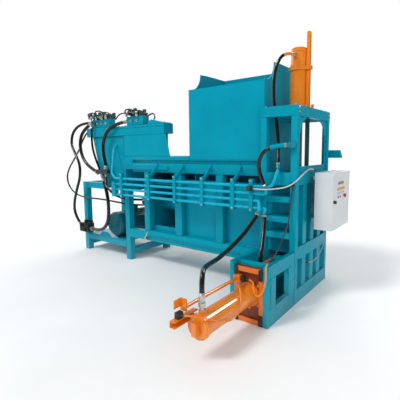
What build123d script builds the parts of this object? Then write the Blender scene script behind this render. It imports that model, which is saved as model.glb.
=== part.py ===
from build123d import *
import math
import os

# Hydraulic silage baler, in millimetres.
# X runs along the long press chamber, towards the end where the bales are made.
# Y runs away from the side that the operator sees, Z is up from the floor.
# The origin is on the floor, under the axis of the upright press cylinder.

# Plate, bar and running clearances
PLATE = 12
RUN_GAP = 0.06
SLIDE_GAP = 4
SEAT_GAP = 0.3

# Gantry: the tall frame round the bale chamber
GANTRY_WIDTH = 400
GANTRY_DEPTH = 990
GANTRY_HEIGHT = 2055
POST = 65
HEAD_DEPTH = 105
BASE_RAIL = 150
BAND_BOTTOM = 470
BAND_TOP = 600
LEDGE_BOTTOM = 1250
LEDGE_TOP = 1370
RUNG_HEIGHT = 60
RUNG_CENTRES = (1100, 890, 720)
RIB_COUNT = 3
RIB_WIDTH = 100
RIB_PITCH = 228
GUSSET = 170
JAMB = 45
SILL_EDGE = 1440

# Press chamber: the long horizontal body
BODY_LEFT = -2300
CHAMBER_END = -2063
END_TOP = 1150
SILL_LEFT = -2100
BODY_HALF = 424
FRAME_DEPTH = 90
SILL_BOTTOM = 354
SILL_TOP = 500
TIE_TOP = 481
CHAMBER_FLOOR = 520
CHAMBER_ROOF = 1180
PANEL_TOP = 1240
TOP_RAIL_BOTTOM = 1330
TOP_RAIL_TOP = 1495
BODY_POSTS = ((-2063, -1977), (-1497, -1383), (-834, -739))
BRACE_CENTRES = (-1790, -1330, -900)
THIN_BRACE = -480
BRACE_WIDTH = 18

# Hopper
HOPPER_LEFT = -1235
HOPPER_BACK = 372
HOPPER_FRONT_TOP = 2357
HOPPER_TOP = 2575
HOPPER_CURVE = 236

# Bale chamber floor
BALE_FLOOR = 60
FLOOR_PLATE = 20
BEARER = 30

# Push box: the low frame in front of the gantry
BOX_LENGTH = 607
BOX_HEIGHT = 570
BOX_RAIL = 120
BOX_SILL = 165
BOX_POST = 50
BOX_WINDOW = (-934, -643)

# Cylinders: outer radius, bore radius, rod radius
PUSH_R, PUSH_BORE, PUSH_ROD = 92.5, 76, 45
PUSH_AXIS_Z = 280
PUSH_OUTER_END = -1869
PUSH_FRONT_END = -830
PRESS_R, PRESS_BORE, PRESS_ROD = 90, 72, 50
PRESS_TOP = 2720
PRESS_BOTTOM = 1960
MAIN_R, MAIN_BORE, MAIN_ROD = 100, 82, 55
MAIN_AXIS_Z = 845
MAIN_REAR = -2480
MAIN_FRONT = -1260
CAP = 40
GLAND = 60
PISTON = 55

# Rams: where each working face rests
MAIN_FACE = -1180
MAIN_PLATE = 40
PUSH_FACE = -345
PUSH_PLATE = 40
PUSH_HEAD_HALF = 130
PUSH_HEAD_TOP = 460
PRESS_FACE = 1180
PRESS_PLATE = 140

# Power unit stand
STAND_LEFT = -3529
STAND_RIGHT = -2400
STAND_BACK = 450
LEG = 90
STAND_TOP = 1131
STAND_RAIL = 94
LOW_RAIL_BOTTOM = 184
LOW_RAIL_TOP = 265

# Oil tank and its lid
TANK_TOP = 1850
TANK_SHOULDER = 1550
TANK_RIGHT = -2476
GUARD_RIGHT = (-1570, -1640)
GUARD_WEBS = (-2150, -1760)
TANK_BACK = 372
TANK_LEFT_TOP = -3233
TANK_LEFT_BOTTOM = -3050
TANK_STEP = 25
TANK_WALL = 8
LID_HEIGHT = 135
LID_LEFT = -3352
LID_DEEP = -2420
LID_RIGHT = -1660
LID_FRONT_BACK = -250
FILLER = (-2700, 200)
FILLER_R = 30

# Motor and pump
MOTOR_X = -2790
MOTOR_Z = 493
MOTOR_R = 187
MOTOR_FRONT = -395
SHAFT_R = 24

# Pipes and hoses
PIPE_D = 34
PIPE_Y = -600
PIPE_LEFT = -2451
PIPE_HEIGHTS = (1237, 1159, 1083, 1006)
CLAMP_BACK = 24
CLAMP_TOP = 1312
MAIN_HOSE = 52
RETURN_HOSE = 44
THICK_HOSE = 42
MID_HOSE = 34
THIN_HOSE = 27
CABLE_D = 14

# Control cabinet on the end of the gantry
CABINET_Y = (-220, 380)
CABINET_Z = (770, 1370)
CABINET_STAND_OFF = 90
CABINET_DEPTH = 190
DOOR = 20

HALF_W = GANTRY_WIDTH / 2
HALF_D = GANTRY_DEPTH / 2
INNER_W = HALF_W - POST
INNER_D = HALF_D - POST
PANEL_HALF = BODY_HALF - FRAME_DEPTH
CHAMBER_HALF = PANEL_HALF - PLATE
BOX_FRONT = -HALF_D - BOX_LENGTH
LID_TOP = TANK_TOP + LID_HEIGHT


# Basic solids

def block(x, y, z):
    """Rectangular solid between three pairs of coordinates."""
    size = Box(x[1] - x[0], y[1] - y[0], z[1] - z[0])
    return Pos((x[0] + x[1]) / 2, (y[0] + y[1]) / 2, (z[0] + z[1]) / 2) * size


def profile_xz(points, y):
    """Outline in the XZ plane, drawn out along Y."""
    face = make_face(Polyline(*[(px, 0, pz) for px, pz in points], close=True))
    return Pos(0, y[0], 0) * extrude(face, amount=y[1] - y[0], dir=(0, 1, 0))


def profile_yz(points, x):
    """Outline in the YZ plane, drawn out along X."""
    face = make_face(Polyline(*[(0, py, pz) for py, pz in points], close=True))
    return Pos(x[0], 0, 0) * extrude(face, amount=x[1] - x[0], dir=(1, 0, 0))


def turned(section, place):
    """Solid turned about local Z from (radius, height) points, then put in place."""
    face = make_face(Polyline(*[(r, 0, h) for r, h in section], close=True))
    return place * revolve(face, Axis.Z)


def round_bar(place, radius, length):
    """Round bar from the place along its local Z."""
    return place * Pos(0, 0, length / 2) * Cylinder(radius, length)


def along_x(x, y, z):
    return Location((x, y, z), (0, 90, 0))


def along_y(x, y, z):
    return Location((x, y, z), (-90, 0, 0))


def along_z(x, y, z):
    return Location((x, y, z))


def mirrored_y(solids):
    """The solids and their mirror images across the XZ plane."""
    return solids + [mirror(s, Plane.XZ) for s in solids]


def mirrored_x(solids):
    """The solids and their mirror images across the YZ plane."""
    return solids + [mirror(s, Plane.YZ) for s in solids]


def minus(solid, cutters):
    for cutter in cutters:
        solid = solid - cutter
    return solid


# Power unit stand

def stand_frame():
    legs_x = ((STAND_LEFT, STAND_LEFT + LEG), (STAND_RIGHT - LEG, STAND_RIGHT))
    legs_y = ((-BODY_HALF, -BODY_HALF + LEG), (STAND_BACK - LEG, STAND_BACK))
    span_x = (STAND_LEFT + LEG, STAND_RIGHT - LEG)
    span_y = (-BODY_HALF + LEG, STAND_BACK - LEG)
    high = (STAND_TOP - STAND_RAIL, STAND_TOP)
    low = (LOW_RAIL_BOTTOM, LOW_RAIL_TOP)
    solids = [block(x, y, (0, STAND_TOP)) for x in legs_x for y in legs_y]
    solids += [block(span_x, y, z) for y in legs_y for z in (high, low)]
    solids += [block(x, span_y, high) for x in legs_x]
    solids += [block(x, span_y, (80, 160)) for x in legs_x]
    # Gusset on the low front rail
    gusset = [(-3150, LOW_RAIL_TOP), (-2830, LOW_RAIL_TOP), (-2950, 350), (-3070, 350)]
    solids.append(profile_xz(gusset, (-BODY_HALF, -BODY_HALF + PLATE)))
    # Deck that carries the motor, and the two channels under its feet
    deck_z = (LOW_RAIL_TOP, LOW_RAIL_TOP + PLATE)
    solids.append(block(span_x, (-BODY_HALF + PLATE, STAND_BACK), deck_z))
    for x in (MOTOR_X - 140, MOTOR_X + 140):
        solids.append(block((x - 35, x + 35), (-250, 250), (deck_z[1], MOTOR_Z - 180)))
    # Tie beams to the press chamber
    tie_z = (SILL_BOTTOM, TIE_TOP)
    tie_x = (STAND_RIGHT, SILL_LEFT)
    solids += [block(tie_x, (-BODY_HALF, -BODY_HALF + LEG), tie_z)]
    solids += [block(tie_x, (BODY_HALF - LEG, BODY_HALF), tie_z)]
    return solids


# Press chamber frame, panels and hopper

def brace(x, width):
    """Slanting arm from the top rail out to the pipe rack."""
    lean = [(-BODY_HALF, 1448), (-BODY_HALF, 1375), (PIPE_Y + CLAMP_BACK, 1262), (PIPE_Y + CLAMP_BACK, 1312)]
    return profile_yz(lean, (x - width / 2, x + width / 2))


def chamber_frame():
    sill_x = (SILL_LEFT, -HALF_W)
    top_x = (BODY_LEFT, -HALF_W)
    solids = []
    for side in (-1, 1):
        y = tuple(sorted((side * BODY_HALF, side * PANEL_HALF)))
        flange_y = tuple(sorted((side * BODY_HALF, side * (BODY_HALF + 20))))
        solids.append(block(sill_x, y, (SILL_BOTTOM, SILL_TOP)))
        solids.append(block((SILL_LEFT + 40, -HALF_W - 300), flange_y, (SILL_TOP - 90, SILL_TOP - 78)))
        solids.append(block(top_x, y, (TOP_RAIL_BOTTOM, TOP_RAIL_TOP - 45)))
        narrow_y = tuple(sorted((side * (BODY_HALF - 30), side * PANEL_HALF)))
        solids.append(block(top_x, narrow_y, (TOP_RAIL_TOP - 45, TOP_RAIL_TOP)))
        for x in BODY_POSTS:
            solids.append(block(x, y, (SILL_TOP, TOP_RAIL_BOTTOM)))
        # Rail that the left part of the body stands up to, under the tank
        solids.append(block((BODY_LEFT, HOPPER_LEFT - PLATE), y, (TOP_RAIL_TOP, TANK_SHOULDER)))
    for x in (SILL_LEFT, -1485, -835, -HALF_W - 80):
        solids.append(block((x, x + 80), (-PANEL_HALF, PANEL_HALF), (SILL_BOTTOM + 20, SILL_TOP)))
    solids += [brace(x, BRACE_WIDTH) for x in BRACE_CENTRES + (THIN_BRACE,)]
    return solids


def chamber_panels():
    cylinder_hole = round_bar(along_x(CHAMBER_END - PLATE - 1, 0, MAIN_AXIS_Z), MAIN_R + RUN_GAP, PLATE + 2)
    low = (SILL_TOP, PANEL_TOP)
    band = (TOP_RAIL_BOTTOM, TOP_RAIL_TOP)
    window = (BODY_POSTS[0][1], BODY_POSTS[1][0])
    full = (CHAMBER_END, -HALF_W)
    long = (BODY_LEFT, -HALF_W)
    front = (-PANEL_HALF, -CHAMBER_HALF)
    back = (CHAMBER_HALF, PANEL_HALF)
    end = block((CHAMBER_END - PLATE, CHAMBER_END), (-BODY_HALF, BODY_HALF), (SILL_TOP, END_TOP))
    solids = [
        end - cylinder_hole,
        block((full[0], window[0]), front, low),
        block((window[1], full[1]), front, low),
        block(full, back, (SILL_TOP, TOP_RAIL_BOTTOM)),
        block(long, front, band),
        block(long, back, band),
        block(full, (-CHAMBER_HALF, CHAMBER_HALF), (SILL_TOP, CHAMBER_FLOOR)),
    ]
    # Low kerb across the window and the roof left of the hopper
    solids.append(block(window, front, (SILL_TOP, SILL_TOP + 70)))
    roof_x = (full[0], HOPPER_LEFT)
    solids.append(block(roof_x, (-CHAMBER_HALF, CHAMBER_HALF), (CHAMBER_ROOF, CHAMBER_ROOF + PLATE)))
    deck_z = (TANK_SHOULDER - PLATE, TANK_SHOULDER)
    solids.append(block((BODY_LEFT, HOPPER_LEFT - PLATE), (-PANEL_HALF, PANEL_HALF), deck_z))
    return solids


def hopper():
    left = (HOPPER_LEFT, HOPPER_LEFT + PLATE)
    right = (-HALF_W - PLATE, -HALF_W)
    inner_x = (left[1], right[0])
    front = block(inner_x, (-BODY_HALF, -BODY_HALF + PLATE), (TOP_RAIL_TOP + PLATE, HOPPER_FRONT_TOP))
    back = block(inner_x, (HOPPER_BACK - PLATE, HOPPER_BACK), (TOP_RAIL_TOP + PLATE, HOPPER_TOP))
    # Side plates, with the hollow curve at the front of the top edge
    height = (TOP_RAIL_TOP + PLATE + HOPPER_TOP) / 2
    side_size = Rectangle(HOPPER_BACK + BODY_HALF, HOPPER_TOP - TOP_RAIL_TOP - PLATE)
    side_face = Plane.YZ * Pos((HOPPER_BACK - BODY_HALF) / 2, height) * side_size
    rise = HOPPER_TOP - HOPPER_FRONT_TOP
    curve_face = Plane.YZ * Pos(-BODY_HALF, HOPPER_TOP) * Ellipse(HOPPER_CURVE, rise)
    side = extrude(side_face - curve_face, amount=PLATE, dir=(1, 0, 0))
    solids = [front, back, Pos(left[0], 0, 0) * side, Pos(right[0], 0, 0) * side]
    # Flange that closes the step between the hopper and the chamber
    ring_z = (TOP_RAIL_TOP, TOP_RAIL_TOP + PLATE)
    solids.append(block((left[0], right[1]), (-BODY_HALF, -CHAMBER_HALF), ring_z))
    solids.append(block((left[0], right[1]), (CHAMBER_HALF, BODY_HALF), ring_z))
    solids.append(block(left, (-CHAMBER_HALF, CHAMBER_HALF), (CHAMBER_ROOF + PLATE, TOP_RAIL_TOP + PLATE)))
    # Rolled top edges
    for x in (left, right):
        solids.append(block((x[0], x[1]), (-100, HOPPER_BACK), (HOPPER_TOP, HOPPER_TOP + 6)))
    solids.append(block((left[1], right[0]), (HOPPER_BACK - PLATE, HOPPER_BACK + 24), (HOPPER_TOP, HOPPER_TOP + 6)))
    return solids


# Gantry

def gantry_frame():
    post_x = (INNER_W, HALF_W)
    post_y = (INNER_D, HALF_D)
    post_top = GANTRY_HEIGHT - HEAD_DEPTH
    posts = mirrored_x(mirrored_y([block(post_x, post_y, (0, post_top))]))
    side_y = (-INNER_D, INNER_D)
    rails = [block(post_x, side_y, z) for z in ((0, BASE_RAIL), (BAND_BOTTOM, BAND_TOP), (LEDGE_BOTTOM, LEDGE_TOP))]
    rails.append(block((-HALF_W, -INNER_W), side_y, (0, SILL_BOTTOM)))
    # Stiffening ribs of the end wall, below and above the band
    for i in range(RIB_COUNT):
        y = (i - (RIB_COUNT - 1) / 2) * RIB_PITCH
        rib_y = (y - RIB_WIDTH / 2, y + RIB_WIDTH / 2)
        for z in ((BASE_RAIL, BAND_BOTTOM), (BAND_TOP, LEDGE_BOTTOM)):
            rails.append(block((INNER_W + PLATE, HALF_W - 8), rib_y, z))
    # Rungs and ledge between the front posts, and plain rails between the back posts
    span = (-INNER_W, INNER_W)
    for z in RUNG_CENTRES:
        rung_z = (z - RUNG_HEIGHT / 2, z + RUNG_HEIGHT / 2)
        rails.append(block(span, (-HALF_D + 5, -PANEL_HALF), rung_z))
        rails.append(block(span, (PANEL_HALF, HALF_D - 5), rung_z))
    for y in ((-HALF_D + 3, -PANEL_HALF), (PANEL_HALF, HALF_D - 3)):
        rails.append(block(span, y, (LEDGE_BOTTOM, LEDGE_TOP + 8)))
    # Arm behind the end posts
    arm = [(HALF_W - POST, 1512), (HALF_W + 145, 1512), (HALF_W + 120, 1605), (HALF_W - POST, 1605)]
    rails.append(profile_xz(arm, (HALF_D, HALF_D + 70)))
    return posts + rails


def corner_gusset(sign_y, edge):
    """Plate with a hollow quarter curve in an upper corner of the end window."""
    top = GANTRY_HEIGHT - HEAD_DEPTH
    square = Rectangle(GUSSET, GUSSET, align=(Align.MAX, Align.MAX))
    circle = Pos(-GUSSET, -GUSSET) * Circle(GUSSET - 22)
    plate = extrude(Plane.YZ * (square - circle), amount=PLATE, dir=(1, 0, 0))
    plate = Pos(HALF_W - 30, edge, top) * plate
    return plate if sign_y > 0 else mirror(plate, Plane.XZ)


def gantry_panels():
    wall_top = LEDGE_TOP
    inner = (-CHAMBER_HALF, CHAMBER_HALF)
    # Front and back walls of the chamber inside the gantry, above the bale channel
    solids = mirrored_y([block((-HALF_W, INNER_W), (CHAMBER_HALF, PANEL_HALF), (SILL_TOP, wall_top))])
    # End wall behind the ribs
    solids.append(block((INNER_W, INNER_W + PLATE), (-INNER_D, INNER_D), (BASE_RAIL, BAND_BOTTOM)))
    solids.append(block((INNER_W, INNER_W + PLATE), (-INNER_D, INNER_D), (BAND_TOP, LEDGE_BOTTOM)))
    # Wall under the mouth of the long chamber, and the one above it
    solids.append(block((-HALF_W, -HALF_W + PLATE), (-INNER_D, INNER_D), (SILL_BOTTOM, SILL_TOP)))
    solids.append(block((-HALF_W, -INNER_W), inner, (SILL_TOP, CHAMBER_FLOOR)))
    solids.append(block((-HALF_W, -HALF_W + PLATE), inner, (CHAMBER_ROOF, TOP_RAIL_TOP + PLATE)))
    # Arched frame of the end window, and plain curved gussets in the window over the chamber
    edge = INNER_D - JAMB
    frame_x = (HALF_W - 30, HALF_W - 30 + PLATE)
    top = GANTRY_HEIGHT - HEAD_DEPTH
    solids += mirrored_y([block(frame_x, (edge, INNER_D), (LEDGE_TOP, top))])
    solids.append(block(frame_x, (-edge, edge), (LEDGE_TOP, SILL_EDGE)))
    solids += [corner_gusset(1, edge), corner_gusset(-1, edge)]
    solids += [mirror(corner_gusset(side, INNER_D), Plane.YZ) for side in (-1, 1)]
    return solids


def gantry_head():
    top = (GANTRY_HEIGHT - HEAD_DEPTH, GANTRY_HEIGHT)
    bore = round_bar(along_z(0, 0, top[0] - 1), PRESS_R + RUN_GAP, HEAD_DEPTH + 2)
    slot = indicator_slot(top)
    solids = mirrored_x([block((INNER_W, HALF_W), (-HALF_D, HALF_D), top)])
    solids += mirrored_y([block((-INNER_W, INNER_W), (INNER_D, HALF_D), top)])
    # Bearing plate under the cylinder flange, and the two webs that carry it
    solids.append(block((-INNER_W, INNER_W), (-260, 260), (top[1] - 25, top[1])) - bore - slot)
    solids += mirrored_y([block((-INNER_W, INNER_W), (150, 180), (top[0], top[1] - 25))])
    return solids


# Bale chamber floor, push box, mounting plate and outlet

def bale_chamber():
    length = (-HALF_D, HALF_D)
    solids = [block((x - BEARER / 2, x + BEARER / 2), length, (0, BALE_FLOOR - FLOOR_PLATE))
              for x in (-INNER_W + BEARER / 2, 0, INNER_W - BEARER / 2)]
    solids.append(block((-INNER_W, INNER_W), length, (BALE_FLOOR - FLOOR_PLATE, BALE_FLOOR)))
    # Guide plates that lead the push head out of the box
    guide_z = (BALE_FLOOR, PUSH_HEAD_TOP)
    guide_y = (-HALF_D - 110, -HALF_D)
    solids += mirrored_x([block((INNER_W, INNER_W + PLATE), guide_y, guide_z)])
    return solids


def push_box_frame():
    rail_x = (HALF_W - BOX_POST, HALF_W)
    span_y = (BOX_FRONT + BOX_POST, -HALF_D)
    solids = mirrored_x([
        block(rail_x, (BOX_FRONT, BOX_FRONT + BOX_POST), (0, BOX_HEIGHT)),
        block(rail_x, span_y, (BOX_HEIGHT - BOX_RAIL, BOX_HEIGHT)),
        block(rail_x, span_y, (0, BOX_SILL)),
        block(rail_x, (BOX_WINDOW[1], -HALF_D), (BOX_SILL, BOX_HEIGHT - BOX_RAIL)),
    ])
    inner_x = (-rail_x[0], rail_x[0])
    solids.append(block(inner_x, (BOX_FRONT + 62, BOX_FRONT + 112), (BOX_HEIGHT - 35, BOX_HEIGHT)))
    solids.append(block(inner_x, (BOX_FRONT + 62, -HALF_D), (BALE_FLOOR - FLOOR_PLATE, BALE_FLOOR)))
    return solids + push_box_cheeks()


def push_box_cheeks():
    """Side plates by the front posts, each with a narrow slit."""
    face_y = (BOX_FRONT + BOX_POST, BOX_WINDOW[0])
    z = (BOX_SILL, BOX_HEIGHT - BOX_RAIL)
    plate = block((HALF_W - PLATE, HALF_W), face_y, z)
    slit = block((HALF_W - PLATE - 1, HALF_W + 1), (face_y[0] + 12, face_y[0] + 20), (z[0] + 60, z[1] - 60))
    return mirrored_x([plate - slit])


def push_mount_plate():
    """Flanged plate that carries the push cylinder between the front posts."""
    half = HALF_W - BOX_POST
    rim_y = (BOX_FRONT, BOX_FRONT + 22)
    back_y = (BOX_FRONT + 22, BOX_FRONT + 62)
    height = 535
    rim = block((-half, half), rim_y, (5, height)) - block((-half + 42, half - 42), rim_y, (50, height - 45))
    notch = 30
    for x in (-half, half - notch):
        for z in (5, height - 48):
            rim = rim - block((x, x + notch), rim_y, (z, z + 48))
    back = block((-half, half), back_y, (5, height))
    bore = round_bar(along_y(0, BOX_FRONT - 1, PUSH_AXIS_Z), PUSH_R + RUN_GAP, 80)
    eye = round_bar(along_y(INDICATOR_X, BOX_FRONT - 1, INDICATOR_Z), INDICATOR_R + 1, 80)
    rim = rim - eye
    back = back - bore - eye
    collar = turned([(PUSH_R + RUN_GAP, 0), (PUSH_R + 24, 0), (PUSH_R + 24, 18), (PUSH_R + RUN_GAP, 18)],
                    along_y(0, BOX_FRONT + 4, PUSH_AXIS_Z))
    return [rim, back, collar]


def outlet_collar():
    """Plain four-sided collar where the bale leaves at the back."""
    y = (HALF_D, HALF_D + 120)
    top = PUSH_HEAD_TOP + 15
    solids = mirrored_x([block((INNER_W, INNER_W + PLATE), y, (BALE_FLOOR - PLATE, top + PLATE))])
    solids.append(block((-INNER_W, INNER_W), y, (BALE_FLOOR - PLATE, BALE_FLOOR)))
    solids.append(block((-INNER_W, INNER_W), y, (top, top + PLATE)))
    return solids


# Cylinders, rods and rams

def barrel(place, length, outer, bore, rod):
    """Barrel with its closed cap, the gland in its open end, in local Z from cap to gland."""
    tube = turned([(0, 0), (outer - 6, 0), (outer, 6), (outer, length), (bore, length), (bore, CAP), (0, CAP)],
                  place)
    inner = rod + RUN_GAP
    gland = turned([(inner, length - GLAND), (bore, length - GLAND), (bore, length),
                    (outer - 4, length), (outer - 4, length + 16), (inner, length + 16)], place)
    return tube, gland


def piston_rod(place, length, bore, rod, reach):
    """Piston and rod at rest, in local Z from the cap end."""
    back = CAP + SEAT_GAP
    piston = bore - RUN_GAP
    return turned([(0, back), (piston, back), (piston, back + PISTON), (rod, back + PISTON),
                   (rod, reach), (0, reach)], place)


MAIN_PLACE = along_x(MAIN_REAR, 0, MAIN_AXIS_Z)
MAIN_LENGTH = MAIN_FRONT - MAIN_REAR - 16
PUSH_PLACE = along_y(0, PUSH_OUTER_END, PUSH_AXIS_Z)
PUSH_LENGTH = PUSH_FRONT_END - PUSH_OUTER_END - 16
PRESS_PLACE = Location((0, 0, PRESS_TOP), (180, 0, 0))
PRESS_LENGTH = PRESS_TOP - PRESS_BOTTOM - 16

INDICATOR_X = -100
INDICATOR_Z = 425
INDICATOR_R = 15
INDICATOR_END = -1900
PRESS_BAR_X = (95, 131)
PRESS_BAR_HALF = 20
PRESS_BAR_TOP = 2880
PUSH_PORTS = (-1807, -870)
PRESS_PORT_Z = 2630


def main_cylinder():
    tube, gland = barrel(MAIN_PLACE, MAIN_LENGTH, MAIN_R, MAIN_BORE, MAIN_ROD)
    flange = turned([(MAIN_R, 0), (MAIN_R + 45, 0), (MAIN_R + 45, 30), (MAIN_R, 30)],
                    along_x(CHAMBER_END - PLATE - 30, 0, MAIN_AXIS_Z))
    lug = block((MAIN_REAR - 70, MAIN_REAR), (-30, 30), (MAIN_AXIS_Z - 50, MAIN_AXIS_Z + 50))
    return [tube + flange + lug, gland]


def main_rod():
    return [piston_rod(MAIN_PLACE, MAIN_LENGTH, MAIN_BORE, MAIN_ROD, MAIN_FACE - MAIN_PLATE - MAIN_REAR)]


def main_platen():
    """Carriage that pushes the crop: face plate, webs, shoe and the long cover plate."""
    back = MAIN_FACE - MAIN_PLATE
    half = CHAMBER_HALF - SLIDE_GAP
    z = (CHAMBER_FLOOR + SEAT_GAP, CHAMBER_ROOF - 10)
    face = block((back, MAIN_FACE), (-half, half), z)
    cover = block((back - 950, back), (-half, half), (z[1] - PLATE, z[1]))
    shoe = block((back - 300, back), (-half, half), (z[0], z[0] + PLATE))
    web = [(back, z[0] + PLATE), (back - 300, z[0] + PLATE), (back - 300, z[0] + 60),
           (back - 120, z[1] - 160), (back - 120, z[1] - PLATE), (back, z[1] - PLATE)]
    webs = mirrored_y([profile_xz(web, (200, 200 + PLATE))])
    return [face, cover, shoe] + webs


def press_cylinder():
    """Barrel with its gland, and the clamp ring that steadies the indicator bar."""
    tube, gland = barrel(PRESS_PLACE, PRESS_LENGTH, PRESS_R, PRESS_BORE, PRESS_ROD)
    flange = turned([(PRESS_R, 0), (PRESS_R + 45, 0), (PRESS_R + 45, 34), (PRESS_R, 34)],
                    along_z(0, 0, GANTRY_HEIGHT))
    flange = flange - indicator_slot((GANTRY_HEIGHT - 1, GANTRY_HEIGHT + 40))
    port = round_bar(Location((0, -PRESS_R + 8, PRESS_PORT_Z), (90, 0, 0)), 26, 34)
    port = port - round_bar(along_z(0, 0, PRESS_TOP - 300), PRESS_R - 2, 300)
    return [tube + flange + port, gland, press_guide()]


def press_rod():
    return [piston_rod(PRESS_PLACE, PRESS_LENGTH, PRESS_BORE, PRESS_ROD, PRESS_TOP - PRESS_FACE - PRESS_PLATE)]


def press_platen():
    """Ribbed head that presses the bale down."""
    half_x = INNER_W - SLIDE_GAP
    half_y = CHAMBER_HALF - SLIDE_GAP
    top = PRESS_FACE + PRESS_PLATE
    z = (PRESS_FACE, PRESS_FACE + 30)
    solids = [block((-half_x, half_x), (-half_y, half_y), z)]
    solids += mirrored_x([block((half_x - 20, half_x), (-half_y, half_y), (z[1], top - 20))])
    for y in (-half_y, -60, 40, half_y - 20):
        solids.append(block((-half_x + 20, half_x - 20), (y, y + 20), (z[1], top - 20)))
    solids.append(block((-half_x, half_x), (-half_y, half_y), (top - 20, top)))
    return solids


def indicator_slot(z):
    """Space round the press indicator bar, for the plates that it passes."""
    return block((PRESS_BAR_X[0] - 3, PRESS_BAR_X[1] + 3), (-PRESS_BAR_HALF - 3, PRESS_BAR_HALF + 3), z)


def press_indicator():
    """Channel that rises beside the barrel and shows how far down the press is."""
    foot = PRESS_FACE + PRESS_PLATE
    bar = block(PRESS_BAR_X, (-PRESS_BAR_HALF, PRESS_BAR_HALF), (foot, PRESS_BAR_TOP))
    groove = block((PRESS_BAR_X[0] + 6, PRESS_BAR_X[1] + 1), (-PRESS_BAR_HALF + 6, PRESS_BAR_HALF - 6),
                   (foot + 20, PRESS_BAR_TOP + 1))
    peg = round_bar(along_x(PRESS_BAR_X[0] + 6, 0, PRESS_BAR_TOP - 80), 9, 28)
    return [bar - groove, peg]


def press_guide():
    """Clamp ring on the barrel with the eye that steadies the indicator bar."""
    z = (2480, 2520)
    ring = turned([(PRESS_R, 0), (PRESS_R + 14, 0), (PRESS_R + 14, 40), (PRESS_R, 40)], along_z(0, 0, z[0]))
    x = (PRESS_BAR_X[0] - 12, PRESS_BAR_X[1] + 14)
    eye = block(x, (-PRESS_BAR_HALF - 14, PRESS_BAR_HALF + 14), z)
    eye = eye - round_bar(along_z(0, 0, z[0] - 1), PRESS_R, 42)
    gap = 0.5
    hole = block((PRESS_BAR_X[0] - gap, PRESS_BAR_X[1] + gap), (-PRESS_BAR_HALF - gap, PRESS_BAR_HALF + gap),
                 (z[0] - 1, z[1] + 1))
    return (ring + eye) - hole


def push_cylinder():
    tube, gland = barrel(PUSH_PLACE, PUSH_LENGTH, PUSH_R, PUSH_BORE, PUSH_ROD)
    flange = turned([(PUSH_R, 0), (PUSH_R + 30, 0), (PUSH_R + 30, 26), (PUSH_R, 26)],
                    along_y(0, BOX_FRONT + 62, PUSH_AXIS_Z))
    flange = flange - round_bar(along_y(INDICATOR_X, BOX_FRONT, INDICATOR_Z), INDICATOR_R + 2, 120)
    lug = block((-22, 22), (PUSH_OUTER_END - 48, PUSH_OUTER_END), (PUSH_AXIS_Z - 55, PUSH_AXIS_Z + 55))
    solid = tube + flange + lug
    core = round_bar(along_y(0, PUSH_OUTER_END - 1, PUSH_AXIS_Z), PUSH_R - 2, 1100)
    for y in PUSH_PORTS:
        boss = round_bar(along_z(0, y, PUSH_AXIS_Z + PUSH_R - 10), 27, 42)
        solid = solid + (boss - core)
    return [solid, gland]


def push_rod():
    reach = PUSH_FACE - PUSH_PLATE - PUSH_OUTER_END
    return [piston_rod(PUSH_PLACE, PUSH_LENGTH, PUSH_BORE, PUSH_ROD, reach)]


def push_platen():
    """Head that pushes the finished bale out, with side cheeks behind the face."""
    half = PUSH_HEAD_HALF
    z = (BALE_FLOOR + SEAT_GAP, PUSH_HEAD_TOP)
    back = PUSH_FACE - PUSH_PLATE
    face = block((-half, half), (back, PUSH_FACE), z)
    cheek = [(back, z[0]), (back, z[1]), (back - 40, z[1]), (back - 150, 220), (back - 150, z[0])]
    cheeks = mirrored_x([profile_yz(cheek, (half - PLATE, half))])
    return [face] + cheeks


def push_indicator():
    """Rod tied to the push head, with the switch target on its outer end."""
    rod_back = PUSH_FACE - PUSH_PLATE
    rod = round_bar(along_y(INDICATOR_X, INDICATOR_END, INDICATOR_Z), INDICATOR_R, rod_back - INDICATOR_END)
    y = (INDICATOR_END - 12, INDICATOR_END)
    target = block((INDICATOR_X - 30, INDICATOR_X + 30), y, (INDICATOR_Z - 22, INDICATOR_Z + 75))
    wing = block((INDICATOR_X - 30, INDICATOR_X - 22), (y[0] - 75, y[0]), (INDICATOR_Z + 10, INDICATOR_Z + 75))
    return [rod, target + wing]


def push_guide():
    """Guide ring by the mounting plate, and the channel arm behind the cap that carries a switch."""
    ring_y = (BOX_FRONT - 44, BOX_FRONT)
    body = block((INDICATOR_X - 34, INDICATOR_X + 34), ring_y, (INDICATOR_Z - 34, INDICATOR_Z + 34))
    hole = round_bar(along_y(INDICATOR_X, ring_y[0] - 1, INDICATOR_Z), INDICATOR_R + RUN_GAP, 90)
    body = body - hole
    arm_y = (-2040, -1760)
    arm_z = (314, 366)
    arm_x = (INDICATOR_X - 26, INDICATOR_X + 26)
    arm = block(arm_x, arm_y, arm_z)
    arm = arm - block((arm_x[0] + 6, arm_x[1] + 1), (arm_y[0] - 1, arm_y[1] + 1), (arm_z[0] + 6, arm_z[1] - 6))
    arm = arm - round_bar(along_y(0, PUSH_OUTER_END - 1, PUSH_AXIS_Z), PUSH_R, 200)
    strap = turned([(PUSH_R, 0), (PUSH_R + 10, 0), (PUSH_R + 10, 26), (PUSH_R, 26)],
                   along_y(0, PUSH_OUTER_END + 8, PUSH_AXIS_Z))
    strap = strap - block(arm_x, arm_y, arm_z)
    return [body, arm, strap]


# Oil tank, lid and valves

def tank_outline():
    """The tank as one filled form, for what stops at its front."""
    side = [(TANK_LEFT_BOTTOM, STAND_TOP), (TANK_RIGHT, STAND_TOP), (TANK_RIGHT, TANK_TOP), (TANK_LEFT_TOP, TANK_TOP)]
    return profile_xz(side, (-BODY_HALF + TANK_STEP, TANK_BACK))


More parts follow.
